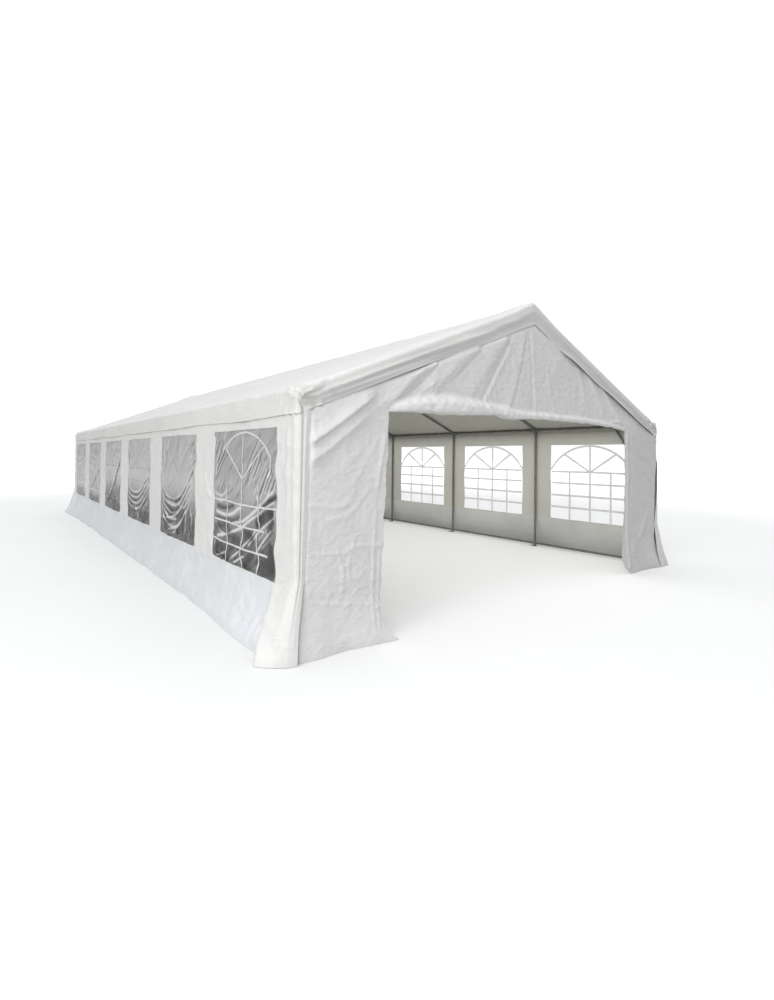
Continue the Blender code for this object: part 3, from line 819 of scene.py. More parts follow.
def side_wall(name, side, node):
    places = wall_places(side)
    run, z = np.meshgrid(places, WALL_HEIGHTS)
    x, y, beyond = round_corners(side, run, z)
    on_end = np.abs(beyond) > CORNER_ROUNDING
    turned = np.clip(np.abs(beyond) / CORNER_ROUNDING, 0, 1) * math.pi / 2
    reach, forward, share = skirt_reach(side, run, z)
    drawn, sagging = wall_shift(side, y, z)
    pleat = corner_pleats(side, run, z)
    x = x + wall_billow(side, y, z) * (1 - on_end) + pleat * np.cos(turned)
    rippled = np.maximum(ripples(run * 3, z, 45, 0.003, (0.25, 0.6), 0, 25), 0)
    flap = 0.003 + 0.003 * smooth(-run / FRONT_RETURN[side]) + rippled + pleat * np.sin(turned)
    y = y + np.where(beyond != 0, np.sign(beyond) * flap, drawn)
    z = z + sagging
    z = z + 0.004 * share * (1 + np.sin(run * 3.1)) * 0.5 * (z < 0.2)
    # Painted shade on the inner face of the right wall, behind the slit at its front corner
    slit_shade = smooth((0.16 - run) / 0.1) * smooth((1.62 - z) / 0.1) * smooth((z - 0.15) / 0.2) * (side > 0)
    points = np.stack([side * (x + reach), y + forward, z], -1)
    wall = face_out(grid_object(name, points, window_cells(places), attributes={"end": slit_shade}), (side, 0, 0))
    thicken(wall, CLOTH, WALL_CLOTH, INNER_WALL)
    place_piece(wall, "tarpaulin", node)


# Window film and bars. Inside a window, s runs from its front edge to its back edge and h from sill to head.


def fan(seed, count, starts, ends, strengths, width):
    """Fine straight folds between two short lines, painted by turns with highlights and shade."""
    rng = np.random.RandomState(seed)
    rows = []
    for number in range(count):
        share = (number + rng.uniform(-0.1, 1.1)) / count
        p = np.array(starts[0]) * (1 - share) + np.array(starts[1]) * share
        q = np.array(ends[0]) * (1 - share) + np.array(ends[1]) * share
        cut = rng.uniform(0.0, 0.45, 2)
        tone = strengths[number % 2] * rng.uniform(0.6, 1.0)
        rows.append(([p + (q - p) * cut[0], q - (q - p) * cut[1]], width * rng.uniform(0.7, 1.3), tone))
    return rows


def swags(lows, path, bright, dark, tip=()):
    """Hanging folds one below another: crests with painted highlights, which tip lengthens, with painted
    shade in the valleys under them.
    """
    rows = []
    for low in lows:
        line = [(s, low + h) for s, h in path]
        rows.append(([*line, *[(s, low + h) for s, h in tip]], *bright))
        rows.append(([(s, h - 0.03) for s, h in line], *dark))
    return rows


def film_tones():
    """The folds of each left window: a path in s and h, a width, and a tone, above 0 for a painted highlight
    and below 0 for painted shade.
    """
    first = fan(1, 14, ((0.62, 0.99), (0.98, 0.99)), ((0.99, 0.58), (1.0, 0.9)), (-1.15, 0.8), 0.009)
    first += fan(2, 22, ((0.22, 0.99), (0.0, 0.66)), ((0.52, 0.58), (0.12, 0.46)), (-0.95, 0.85), 0.008)
    first += fan(3, 12, ((0.02, 0.42), (0.03, 0.1)), ((0.28, 0.2), (0.16, 0.04)), (0.65, -0.7), 0.008)
    first += fan(4, 10, ((0.92, 0.66), (0.56, 0.6)), ((0.98, 0.5), (0.76, 0.48)), (0.5, -0.5), 0.008)
    first += fan(5, 9, ((0.6, 0.74), (0.3, 0.7)), ((0.74, 0.56), (0.46, 0.5)), (0.3, -0.3), 0.008)
    first += [
        ([(0.22, 0.46), (0.1, 0.51), (0.0, 0.56)], 0.03, -1.0),
        ([(0.28, 0.31), (0.2, 0.38), (0.03, 0.44)], 0.06, -1.3),
        ([(0.12, 0.3), (0.04, 0.4)], 0.04, -1.0),
        ([(0.24, 0.02), (0.08, 0.08), (0.01, 0.24)], 0.08, -1.5),
        ([(0.46, 0.25), (0.36, 0.24), (0.3, 0.2)], 0.055, -1.2),
        ([(0.8, 0.25), (0.62, 0.19), (0.5, 0.2)], 0.05, -1.2),
        ([(0.99, 0.24), (0.8, 0.27), (0.68, 0.29)], 0.04, -0.8),
        ([(0.97, 0.11), (0.74, 0.1), (0.58, 0.15)], 0.045, -1.2),
        ([(0.45, 0.01), (0.37, 0.08), (0.3, 0.12)], 0.04, -1.1),
        ([(0.97, 0.42), (0.78, 0.4), (0.6, 0.44)], 0.024, -0.9),
        ([(0.97, 0.32), (0.7, 0.31), (0.5, 0.37)], 0.02, -0.8),
        ([(0.96, 0.05), (0.8, 0.02), (0.62, 0.03)], 0.03, -0.9),
        ([(0.02, 0.6), (0.22, 0.47), (0.45, 0.34), (0.7, 0.29)], 0.013, 1.4),
        ([(0.02, 0.52), (0.24, 0.41), (0.48, 0.29)], 0.011, 1.3),
        ([(0.02, 0.42), (0.19, 0.31), (0.4, 0.16)], 0.012, 1.5),
        ([(0.26, 0.3), (0.38, 0.21), (0.5, 0.13)], 0.01, 1.4),
        ([(0.06, 0.33), (0.18, 0.22), (0.28, 0.12)], 0.009, 1.4),
        ([(0.39, 0.32), (0.65, 0.23), (0.96, 0.16)], 0.015, 1.6),
        ([(0.46, 0.45), (0.72, 0.35), (0.98, 0.37)], 0.016, 1.3),
        ([(1.0, 0.52), (0.86, 0.49), (0.72, 0.55)], 0.013, 0.9),
        ([(0.99, 0.47), (0.84, 0.45), (0.7, 0.5)], 0.01, 0.8),
        ([(0.94, 0.01), (0.76, 0.07)], 0.01, 1.4),
        ([(0.72, 0.01), (0.52, 0.11)], 0.01, 1.4),
        ([(0.62, 0.01), (0.44, 0.09)], 0.009, 1.3),
        ([(0.9, 0.2), (0.98, 0.08)], 0.009, 0.8),
        ([(0.98, 0.3), (0.88, 0.22), (0.78, 0.2)], 0.009, 0.8),
    ]
    second = fan(11, 9, ((0.8, 0.86), (0.98, 0.97)), ((0.97, 0.55), (1.0, 0.72)), (-0.8, 0.5), 0.011)
    second += fan(12, 11, ((0.0, 0.98), (0.02, 0.52)), ((0.14, 0.88), (0.28, 0.3)), (-1.1, 0.8), 0.011)
    second += fan(13, 11, ((0.28, 0.34), (0.06, 0.36)), ((0.38, 0.02), (0.04, 0.03)), (-1.4, 0.9), 0.013)
    second += [
        ([(0.52, 0.18), (0.37, 0.22), (0.27, 0.29)], 0.036, -1.3),
        ([(0.48, 0.05), (0.33, 0.13), (0.26, 0.22)], 0.036, -1.3),
        ([(0.92, 0.1), (0.72, 0.03), (0.56, 0.02)], 0.036, -1.2),
        ([(0.9, 0.22), (0.78, 0.13), (0.6, 0.15)], 0.028, -1.0),
        ([(0.7, 0.37), (0.52, 0.37), (0.36, 0.39)], 0.018, -0.6),
        ([(0.74, 0.26), (0.52, 0.25), (0.34, 0.31)], 0.022, -0.8),
        ([(0.16, 0.2), (0.08, 0.05)], 0.04, -0.8),
        ([(0.99, 0.16), (0.84, 0.16), (0.57, 0.2), (0.38, 0.29), (0.25, 0.34)], 0.014, 1.6),
        ([(0.78, 0.06), (0.5, 0.1), (0.31, 0.21), (0.22, 0.33)], 0.013, 1.5),
        ([(0.93, 0.4), (0.86, 0.24), (0.71, 0.18)], 0.014, 1.0),
        ([(0.96, 0.34), (0.9, 0.18), (0.7, 0.12), (0.5, 0.15)], 0.011, 1.0),
        ([(0.84, 0.44), (0.74, 0.34), (0.5, 0.32), (0.3, 0.37)], 0.012, 0.8),
        ([(0.93, 0.12), (0.8, 0.04), (0.56, 0.05), (0.36, 0.18)], 0.013, 1.1),
    ]
    lows = [0.4 - 0.068 * order for order in range(5)]
    path = [(0.98, 0.1), (0.84, 0.01), (0.62, -0.03), (0.4, 0.02), (0.2, 0.18)]
    second += swags(lows, path, (0.01, 0.95), (0.014, -0.85), [(0.07, 0.36)])
    third = fan(21, 5, ((0.86, 0.98), (0.98, 0.98)), ((0.96, 0.62), (1.0, 0.7)), (-0.7, 0.2), 0.018)
    third += fan(22, 6, ((0.0, 0.74), (0.02, 0.3)), ((0.1, 0.6), (0.28, 0.1)), (-0.8, 0.4), 0.014)
    third += [
        ([(0.98, 0.1), (0.75, 0.09), (0.6, 0.12)], 0.06, -1.1),
        ([(0.4, 0.1), (0.22, 0.05), (0.04, 0.16)], 0.07, -1.0),
        ([(0.92, 0.03), (0.6, 0.03)], 0.03, -0.6),
    ]
    lows = [0.365 - 0.07 * order for order in range(4)]
    path = [(0.99, 0.05), (0.78, -0.02), (0.5, -0.01), (0.28, 0.08), (0.1, 0.22)]
    third += swags(lows, path, (0.013, 1.2), (0.015, -0.9))
    third += [([(0.6, 0.17), (0.5, 0.09), (0.44, 0.01)], 0.013, 1.0)]
    fourth = fan(31, 12, ((0.1, 0.62), (0.7, 0.12)), ((0.0, 0.03), (0.55, 0.02)), (-0.8, 0.3), 0.02)
    fourth += [
        ([(0.03, 0.76), (0.2, 0.58), (0.46, 0.32), (0.74, 0.12), (0.96, 0.03)], 0.03, -1.1),
        ([(0.1, 0.76), (0.28, 0.58), (0.54, 0.33), (0.8, 0.14)], 0.024, 0.6),
        ([(0.06, 0.05), (0.4, 0.08)], 0.06, -0.8),
    ]
    fifth = fan(41, 4, ((0.06, 0.6), (0.6, 0.2)), ((0.02, 0.1), (0.4, 0.1)), (-0.5, 0.2), 0.03)
    fifth += [
        ([(0.08, 0.58), (0.4, 0.38), (0.8, 0.2)], 0.022, -0.7),
        ([(0.95, 0.17), (0.5, 0.19), (0.05, 0.17)], 0.016, 0.6),
        ([(0.95, 0.08), (0.5, 0.05), (0.05, 0.07)], 0.06, -0.8),
    ]
    sixth = [
        ([(0.95, 0.24), (0.05, 0.26)], 0.02, 0.4),
        ([(0.9, 0.1), (0.2, 0.12)], 0.07, -0.5),
        ([(0.94, 0.9), (0.92, 0.5)], 0.04, -0.3),
    ]
    return [first, second, third, fourth, fifth, sixth]


FILM_TONES = film_tones()

# How much paler each left window is painted, as painted light, and from what share of its height
PALE_LIGHT_SHARES = [(0.0, 0.0), (0.52, 0.28), (0.75, 0.28), (0.82, 0.24), (0.68, -0.1), (0.82, -0.1)]


def inside_pane(s, h, margin):
    """1 inside a window, falling to nothing over a margin at its welded edges."""
    return smooth(s / margin) * smooth((1 - s) / margin) * smooth(h / margin) * smooth((1 - h) / margin)


def film_tone(number, s, h):
    """How bright or dark the left film's folds are painted, as painted highlights and shade: from -1 to 1,
    and nothing at its welded edges.
    """
    total = np.zeros(np.shape(s))
    for path, width, tone in FILM_TONES[number]:
        real = [(p * WINDOW_WIDTH, q * WINDOW_HEIGHT) for p, q in path]
        total = total + fold(s * WINDOW_WIDTH, h * WINDOW_HEIGHT, real, width, tone, (0.12, 0.12))
    return np.clip(total, -1, 1) * inside_pane(s, h, 0.03)


def film_height(side, number, s, h):
    """How far the film stands in or out inside its window."""
    a = s * WINDOW_WIDTH
    b = h * WINDOW_HEIGHT
    edge = inside_pane(s, h, 0.05)
    if side > 0:
        return ripples(a, b, 90 + number, 0.0012, (0.25, 0.7)) * edge
    return 0.006 * film_tone(number, s, h) + ripples(a, b, 80 + number, 0.002, (0.1, 0.3), 60, 40) * edge


def film_point(side, number, s, h, lift=0.0):
    """Where a place in a window's film lies, with the wall's own movement and the film's folds."""
    y = WINDOW_Y[number] + s * WINDOW_WIDTH
    z = WINDOW_SILL + h * WINDOW_HEIGHT
    drawn, sagging = wall_shift(side, y, z)
    out = wall_billow(side, y, z) - CLOTH - 0.0015 + film_height(side, number, s, h) + lift
    return np.stack([side * (WALL_FACE + out), y + drawn, z + sagging], -1)


def film(name, side, node):
    panes = []
    left_cells = [0.0068, 0.0105, *[FILM_CELL] * (BAYS - 2)]
    for number in range(BAYS):
        cell = left_cells[number] if side < 0 else RIGHT_FILM_CELL
        s = spaced(-FILM_MARGIN / WINDOW_WIDTH, 1 + FILM_MARGIN / WINDOW_WIDTH, cell / WINDOW_WIDTH)
        h = spaced(-FILM_MARGIN / WINDOW_HEIGHT, 1 + FILM_MARGIN / WINDOW_HEIGHT, cell / WINDOW_HEIGHT)
        s, h = np.meshgrid(s, h)
        points = film_point(side, number, s, h)
        # Painted light: highlights on crests, shade in hollows, and paler windows
        tone = film_tone(number, s, h) if side < 0 else 0 * s
        pale_light_share, start = PALE_LIGHT_SHARES[number] if side < 0 else (0.0, 0.0)
        pale_light = pale_light_share * smooth((h - start) / 0.32)
        shades = {"crest_highlight": np.maximum(tone, 0), "hollow_shade": np.maximum(-tone, 0), "pale_light": pale_light}
        panes.append(face_out(grid_object(f"{name}_{number}", points, attributes=shades), (side, 0, 0)))
    sheet = join_objects(name, panes)
    sheet.data.materials.append(LEFT_FILM if side < 0 else RIGHT_FILM)
    place_piece(sheet, "clear_film", node)


# Where a window's spokes meet: on its middle bar, at this share of its height
MIDDLE_BAR = 0.49
HUB_LEVEL = 0.64


def bar_lines(state):
    """The centre lines of one window's bars, in s and h.

    On the creased window they sag and some have come off. Its neighbour shows little but the arch.
    """
    if state == "plain":
        radius = 0.785
        half = WINDOW_WIDTH / 2
        centre = WINDOW_HEIGHT * 0.985 - radius
        reach = math.asin((half - 0.006) / radius)
        arch = []
        for angle in np.linspace(-reach, reach, 41):
            s = (half + radius * math.sin(angle)) / WINDOW_WIDTH
            arch.append((s, (centre + radius * math.cos(angle)) / WINDOW_HEIGHT))
        tips = ((0.815, 0.877), (0.185, 0.877))
    else:
        arch = [(0.965, 0.66), (0.93, 0.755), (0.78, 0.885), (0.63, 0.955), (0.46, 0.98), (0.31, 0.955)]
        arch = curved([*arch, (0.17, 0.885), (0.085, 0.8), (0.08, 0.73), (0.115, 0.665)], 8)
        tips = ((0.78, 0.875), (0.175, 0.875))
    hub = (MIDDLE_BAR, HUB_LEVEL)
    lines = [arch, *[straight(hub, tip, 16) for tip in ((MIDDLE_BAR, 0.975), *tips)]]
    if state == "faint":
        return [*lines, straight((0.72, 0.335), (0.26, 0.315), 20)]
    if state == "creased":
        loose, foot = 1.0, 0.61
        ends = ((0.0, 0.465), (0.15, 0.305), (0.1, 0.145))
    else:
        loose, foot = 0.0, HUB_LEVEL
        ends = ((0.0, HUB_LEVEL), (0.0, 0.485), (0.0, 0.32), (0.0, 0.16))
    for start, level in ends:
        line = straight((0.99, level), (start + 0.006, level), 70)
        lines.append([(s, h - 0.012 * loose * math.sin(math.pi * s)) for s, h in line])
    for s in (0.245, MIDDLE_BAR, 0.745):
        line = []
        for place, h in straight((s, HUB_LEVEL if s == MIDDLE_BAR else foot), (s, 0.004), 60):
            sway = 0.022 * math.sin(h * 27 + s * 9) * float(smooth((0.42 - h) / 0.12))
            line.append((place + sway * loose, h))
        lines.append(line)
    return lines


def straight(start, end, count):
    """Points along a straight line."""
    (a, b), (c, d) = start, end
    return [(a + (c - a) * t, b + (d - b) * t) for t in np.linspace(0, 1, count)]


LEFT_WINDOW_BARS = [("creased", LEFT_BARS), ("faint", HAZY_BARS), *[("plain", FAINT_BARS)] * (BAYS - 2)]


def bars(name, side):
    """Thin strips that follow the film's folds."""
    pieces = []
    half = 0.0085 if side < 0 else 0.0155
    for number in range(BAYS):
        state, plastic = LEFT_WINDOW_BARS[number] if side < 0 else ("plain", RIGHT_BARS)
        lift, step = (0.0004, 0.00003) if state == "plain" else (0.0018, 0.0002)
        lift = -0.0035 if side > 0 else lift
        for order, line in enumerate(bar_lines(state)):
            s, h = np.array(line).T
            ds = np.gradient(s) * WINDOW_WIDTH
            dh = np.gradient(h) * WINDOW_HEIGHT
            size = np.hypot(ds, dh)
            columns = np.array([-1.0, 0.0, 1.0]) * half
            grid_s = s[:, None] - columns * (dh / size)[:, None] / WINDOW_WIDTH
            grid_h = h[:, None] + columns * (ds / size)[:, None] / WINDOW_HEIGHT
            points = film_point(side, number, grid_s, grid_h, lift + step * order)
            strip = grid_object(f"{name}_{number}_{order}", points)
            strip.data.materials.append(plastic)
            pieces.append(face_out(strip, (side, 0, 0)))
    strips = join_objects(name, pieces)
    solid = strips.modifiers.new("thickness", "SOLIDIFY")
    solid.thickness = 0.0008
    solid.offset = 0.0
    place_piece(strips, "clear_film")


# End walls


def end_top(x):
    return RIDGE_TOP - 0.034 - np.abs(x) * RISE


def valance_line(x):
    """Height of the gable valance's hem, which covers the end wall above it."""
    return VALANCE_Z + (VALANCE_APEX_Z - VALANCE_Z) * (1 - np.abs(x) / HALF_WIDTH)


FRONT_FOLDS = [
    # the left panel is drawn up towards the doorway's corner
    ([(-2.93, 1.43), (-2.7, 1.57), (-2.46, 1.75), (-2.12, 1.985)], 0.07, 0.03, (0.15, 0.4), 1.3, 0.6),
    ([(-2.93, 1.575), (-2.7, 1.715), (-2.48, 1.865), (-2.16, 2.085)], 0.07, 0.042, (0.15, 0.25), 1.4, 0.32),
    ([(-2.76, 1.28), (-2.48, 1.48), (-2.26, 1.68)], 0.04, 0.005, (0.3, 0.3), 1.5, 0.8),
    ([(-2.52, 1.2), (-2.34, 1.42), (-2.16, 1.72)], 0.032, 0.005, (0.3, 0.3), 1.5, 0.8),
    ([(-2.2, 1.2), (-2.14, 1.5), (-2.1, 1.78)], 0.022, 0.01, (0.2, 0.2)),
    # its hem and folding creases
    ([(-2.195, 1.25), (-2.215, 0.75), (-2.235, 0.06)], 0.018, 0.006, (0.25, 0.1)),
    ([(-2.14, 0.82), (-2.165, 0.45), (-2.185, 0.05)], 0.014, 0.004, (0.2, 0.1)),
    ([(-2.86, 0.775), (-2.5, 0.755), (-2.44, 0.795), (-2.1, 0.785)], 0.013, 0.006, (0.05, 0.05), 1.4),
    ([(-2.83, 0.415), (-2.65, 0.375), (-2.2, 0.3)], 0.013, 0.005, (0.05, 0.1), 1.4),
    ([(-2.86, 1.16), (-2.6, 1.12), (-2.4, 1.17)], 0.02, 0.008, (0.1, 0.3), 1.4),
    ([(-2.6, 0.85), (-2.52, 0.6), (-2.55, 0.42)], 0.014, 0.005, (0.2, 0.2)),
    ([(-2.4, 0.9), (-2.47, 0.62), (-2.4, 0.45)], 0.014, 0.005, (0.2, 0.2)),
    ([(-2.75, 1.0), (-2.45, 1.08), (-2.3, 1.22)], 0.02, 0.005, (0.2, 0.3)),
    # the gable's folds fan up from the doorway's left corner: soft swells with a shaded valley below each
    ([(-2.2, 1.93), (-2.02, 2.03), (-1.86, 2.17), (-1.66, 2.34), (-1.5, 2.42)],
     0.11, 0.032, (0.3, 0.02), 1.6, 0.35),
    ([(-1.96, 2.0), (-1.78, 2.12), (-1.56, 2.31), (-1.45, 2.42)], 0.016, -0.01, (0.15, 0.02), 1.5),
    ([(-1.84, 1.99), (-1.64, 2.14), (-1.48, 2.25)], 0.03, 0.01, (0.2, 0.3), 1.5, 0.4),
    ([(-1.66, 2.07), (-1.44, 2.24), (-1.2, 2.44), (-0.92, 2.64)], 0.15, 0.024, (0.15, 0.02), 1.6, 0.45),
    ([(-1.46, 2.16), (-1.23, 2.3), (-1.04, 2.46), (-0.84, 2.65)], 0.014, -0.008, (0.4, 0.02), 1.5),
    ([(-1.1, 2.06), (-0.9, 2.34), (-0.66, 2.62), (-0.48, 2.8)], 0.16, 0.018, (0.2, 0.02), 1.8, 0.5),
    ([(-0.88, 2.06), (-0.8, 2.21), (-0.66, 2.4), (-0.5, 2.64), (-0.38, 2.83)],
     0.03, -0.01, (0.05, 0.02), 1.5, 0.6),
    ([(-0.8, 2.1), (-0.62, 2.4), (-0.4, 2.7)], 0.03, 0.008, (0.2, 0.2), 1.5, 0.5),
    ([(-0.5, 2.0), (-0.38, 2.2), (-0.28, 2.5), (-0.17, 2.88)], 0.075, 0.01, (0.05, 0.02), 1.5, 0.4),
    ([(-0.36, 2.04), (-0.26, 2.38), (-0.18, 2.66), (-0.13, 2.9)], 0.012, -0.006, (0.1, 0.02), 1.5),
    ([(-0.02, 2.02), (-0.05, 2.45), (-0.09, 2.92)], 0.018, -0.007, (0.1, 0.02), 1.5),
    ([(0.03, 2.02), (0.0, 2.45), (-0.04, 2.93)], 0.02, 0.004, (0.1, 0.02), 1.5),
    ([(0.42, 2.02), (0.3, 2.3), (0.22, 2.62)], 0.035, 0.007, (0.1, 0.3), 1.5, 0.5),
    ([(0.8, 2.72), (0.95, 2.4), (1.05, 2.06)], 0.07, 0.008, (0.1, 0.3), 1.5, 0.4),
    ([(1.04, 2.6), (1.26, 2.34), (1.5, 2.04)], 0.08, 0.012, (0.02, 0.2), 1.5, 0.34),
    ([(1.36, 2.46), (1.62, 2.22), (1.92, 1.98)], 0.07, 0.016, (0.02, 0.1), 1.5, 0.34),
    ([(1.98, 2.0), (1.8, 2.02), (1.55, 2.0)], 0.022, 0.016, (0.05, 0.4), 1.5, 0.5),
    # the right panel
    ([(2.04, 1.88), (2.3, 1.66), (2.8, 1.46)], 0.06, 0.016, (0.2, 0.3), 1.5, 0.4),
    ([(2.1, 1.62), (2.45, 1.4), (2.85, 1.22)], 0.05, 0.012, (0.2, 0.3), 1.5, 0.4),
    ([(2.16, 0.8), (2.3, 0.83), (2.46, 0.8), (2.62, 0.74)], 0.03, 0.004, (0.1, 0.3), 1.5, 0.5),
    ([(2.4, 0.4), (2.55, 0.6), (2.72, 0.86)], 0.05, 0.014, (0.2, 0.3), 1.5, 0.4),
    ([(2.2, 0.16), (2.3, 0.4), (2.34, 0.72)], 0.04, 0.005, (0.2, 0.3), 1.5, 0.5),
    ([(2.07, 1.9), (2.09, 1.2), (2.08, 0.6), (2.1, 0.05)], 0.05, 0.014, (0.02, 0.02), 2.5, 0.6),
    ([(2.14, 1.9), (2.16, 1.2), (2.15, 0.6), (2.18, 0.05)], 0.012, -0.007, (0.02, 0.02), 1.5),
]


def roll_edges(x):
    """Heights of the rolled door's lower and upper outline."""
    low = np.interp(
        x,
        [-2.06, -1.7, -1.43, -0.81, -0.65, -0.55, -0.39, -0.01, 0.6, 1.15, 1.35, 1.7, 2.01],
        [1.912, 1.926, 1.922, 1.954, 1.962, 1.945, 1.932, 1.96, 1.964, 1.962, 1.952, 1.94, 1.905],
    )
    high = np.interp(
        x,
        [-2.06, -1.85, -1.7, -1.36, -0.89, -0.55, -0.31, 0.36, 1.13, 1.5, 1.8, 2.01],
        [1.975, 2.04, 2.068, 2.095, 2.074, 2.057, 2.028, 2.03, 2.02, 2.002, 1.975, 1.94],
    )
    return low, high


def roll_depth(low, high):
    return np.clip((high - low) * 0.46, 0.022, 0.072)


def drape(x, z):
    """How far the gable cloth stands out where it hangs over the rolled door."""
    low, high = roll_edges(x)
    middle = (low + high) / 2
    rise = np.clip((z - middle) / ((high - low) * 0.85), 0, 1)
    sink = np.clip((middle - z) / ((high - low) / 2), 0, 1)
    ends = smooth((x - DOOR_LEFT) / 0.1) * smooth((DOOR_RIGHT - x) / 0.1)
    profile = 0.5 * (1 + np.cos(math.pi * rise)) * np.sqrt(np.clip(1 - sink**5, 0, 1))
    return (roll_depth(low, high) + 0.004) * profile * ends


def front_height(x, z):
    """How far the front cloth stands out, in panels and gable alike."""
    out = folds(x, z, FRONT_FOLDS)
    out = out + ripples(x, z, 101, 0.0022, (0.14, 0.5), 40, 60)
    crumpled = creases(x, z, 102, 0.0042, (0.1, 0.3), 90, 70)
    crumpled = crumpled + creases(x, z, 105, 0.003, (0.08, 0.22), 60, 60)
    crumpled = crumpled + creases(x, z, 107, 0.0024, (0.05, 0.12), 90, 60)
    crumpled = crumpled + creases(x, z, 109, 0.002, (0.04, 0.09))
    crumpled = crumpled + ripples(x, z, 110, 0.0012, (0.04, 0.12))
    out = out + crumpled * (1 + 0.35 * smooth((z - 1.95) / 0.1))
    covered = smooth((valance_line(x) + 0.03 - z) / 0.08)
    over = drape(x, z)
    rolled = ripples(x * 1.5, z * 3, 103, 0.005, (0.12, 0.5), 0, 35)
    rolled = rolled + creases(x, z * 2.0, 104, 0.012, (0.08, 0.3), 60, 40)
    out = out * (1 - 0.6 * smooth(over / 0.05)) + rolled * smooth(over / 0.04)
    under_flap = 0.06 + 0.94 * smooth((x + WALL_FACE - flap_width(-1, z) + 0.012) / 0.04)
    under_flap = 1 - (1 - under_flap) * smooth((z - 0.12) / 0.25)
    return 0.0008 + np.maximum(out + 0.01, 0.0) * covered * under_flap + over


def gable_height(x, z):
    """The gable's ends lie behind the panels."""
    beside = smooth((DOOR_LEFT - x) / 0.015) + smooth((x - DOOR_RIGHT) / 0.015)
    return front_height(x, z) - 0.0025 * beside


def end_object(name, x_edges, z_edges, end, height, cell, skirt=None, shade=None):
    """An end sheet as a grid between two side lines and two level lines. Each line is a function."""
    wide = max(abs(x_edges[1](z) - x_edges[0](z)) for z in (0.1, 1.9))
    middle_x = float(x_edges[0](1.0) + x_edges[1](1.0)) / 2
    low = z_edges[0](middle_x)
    tall = z_edges[1](middle_x) - low
    u = np.linspace(0, 1, max(2, round(wide / cell)) + 1)
    v = np.linspace(0, 1, max(2, round(tall / cell)) + 1)
    u, v = np.meshgrid(u, v)
    guess = low + v * tall
    x = x_edges[0](guess) * (1 - u) + x_edges[1](guess) * u
    z = z_edges[0](x) * (1 - v) + z_edges[1](x) * v
    x = x_edges[0](z) * (1 - u) + x_edges[1](z) * u
    forward, sideways = skirt(x, z, u) if skirt else (0.0, 0.0)
    points = np.stack([x + sideways, end * (END_FACE + (height(x, z) + forward)), z], -1)
    # The attribute end marks where a material paints light or shade
    shades = {"end": shade(x, z)} if shade else None
    return face_out(grid_object(name, points, attributes=shades), (0, end, 0))


def upright(x):
    """A side line that stands straight up."""
    return lambda z: np.full(np.shape(z), x)


def ground_edge(x):
    return HEM_Z + 0 * np.asarray(x, float)


def gable_edge(x):
    """The gable cloth ends low on the front of the rolled door."""
    low, high = roll_edges(x)
    return low + 0.07 * (high - low)


def left_panel_edge(z):
    """The left panel's edge along the doorway."""
    z = np.asarray(z, float)
    places = [-2.1, -2.145, -2.15, -2.128, -2.105, -2.072, -2.066]
    edge = np.interp(z, [0.0, 0.1, 0.17, 0.6, 1.06, 1.69, 1.95], places)
    wobble = 0.006 * np.sin(z * 17) + 0.004 * np.sin(z * 41 + 1)
    return edge + wobble * smooth((1.9 - z) / 0.3)


def left_panel_skirt(x, z, u):
    share = np.clip((0.42 - z) / 0.42, 0, 1) ** 1.7
    foot = np.clip((0.11 - z) / 0.11, 0, 1) ** 1.5
    forward = share * (0.065 + 0.02 * u + 0.012 * np.sin(u * 9)) + foot * 0.02 * smooth((u - 0.8) / 0.2)
    sideways = -0.02 * share * (1 - u) + foot * 0.085 * smooth((u - 0.75) / 0.25)
    return forward, sideways


def right_panel_edge(z):
    """The right panel's edge along the doorway."""
    z = np.asarray(z, float)
    places = [2.13, 2.07, 1.995, 1.935, 1.94, 1.975, 2.005, 2.02, 2.01]
    edge = np.interp(z, [0.0, 0.02, 0.08, 0.21, 0.4, 0.63, 0.88, 1.2, 1.7], places)
    wobble = 0.006 * np.sin(z * 15 + 2) + 0.004 * np.sin(z * 37)
    return edge + wobble * smooth((1.9 - z) / 0.3)


def right_panel_outer(z):
    """The right panel's edge at the corner, drawn in from the post at mid-height."""
    places = [2.93, 2.862, 2.878, 2.885, 2.93, 2.935, END_EDGE]
    return np.interp(z, [0.0, 0.3, 0.83, 1.02, 1.46, 1.55, 1.9], places)


def right_panel_skirt(x, z, u):
    share = np.clip((0.45 - z) / 0.45, 0, 1) ** 1.6
    forward = share * (0.03 + 0.05 * u + 0.012 * np.sin(u * 8 + 1))
    return forward, share * (0.16 * u**1.5)


def front_wall():
    panel = (-1, front_height, FRONT_CELL)
    left_lines = (upright(-END_EDGE), left_panel_edge)
    left = end_object("panel_front_left", left_lines, (ground_edge, end_top), *panel, left_panel_skirt)
    right_lines = (right_panel_edge, right_panel_outer)
    right = end_object(
        "panel_front_right",
        right_lines,
        (ground_edge, end_top),
        *panel,
        right_panel_skirt,
        # painted shade: the attribute end darkens the right panel below the gable
        lambda x, z: smooth((2.12 - z) / 0.4),
    )
    gable = end_object(
        "gable_front",
        (upright(DOOR_LEFT - OVERLAP), upright(DOOR_RIGHT + OVERLAP)),
        (gable_edge, end_top),
        -1,
        gable_height,
        GABLE_CELL,
        # painted light: the attribute end marks the cloth that hangs over the rolled door
        shade=lambda x, z: smooth(drape(x, z) / 0.03),
    )
    sizes = {
        left: ((0.88, 2.37), "front_left_panel", 1.87),
        right: ((0.93, 2.36), "front_right_panel", 1.95),
        gable: ((4.175, 1.3), "front_gable", 3.8),
    }
    for sheet, (flat, node, area) in sizes.items():
        thicken(sheet, CLOTH, RIGHT_CLOTH if sheet is right else FRONT_CLOTH, INNER_CLOTH)
        place_piece(sheet, "tarpaulin", node)


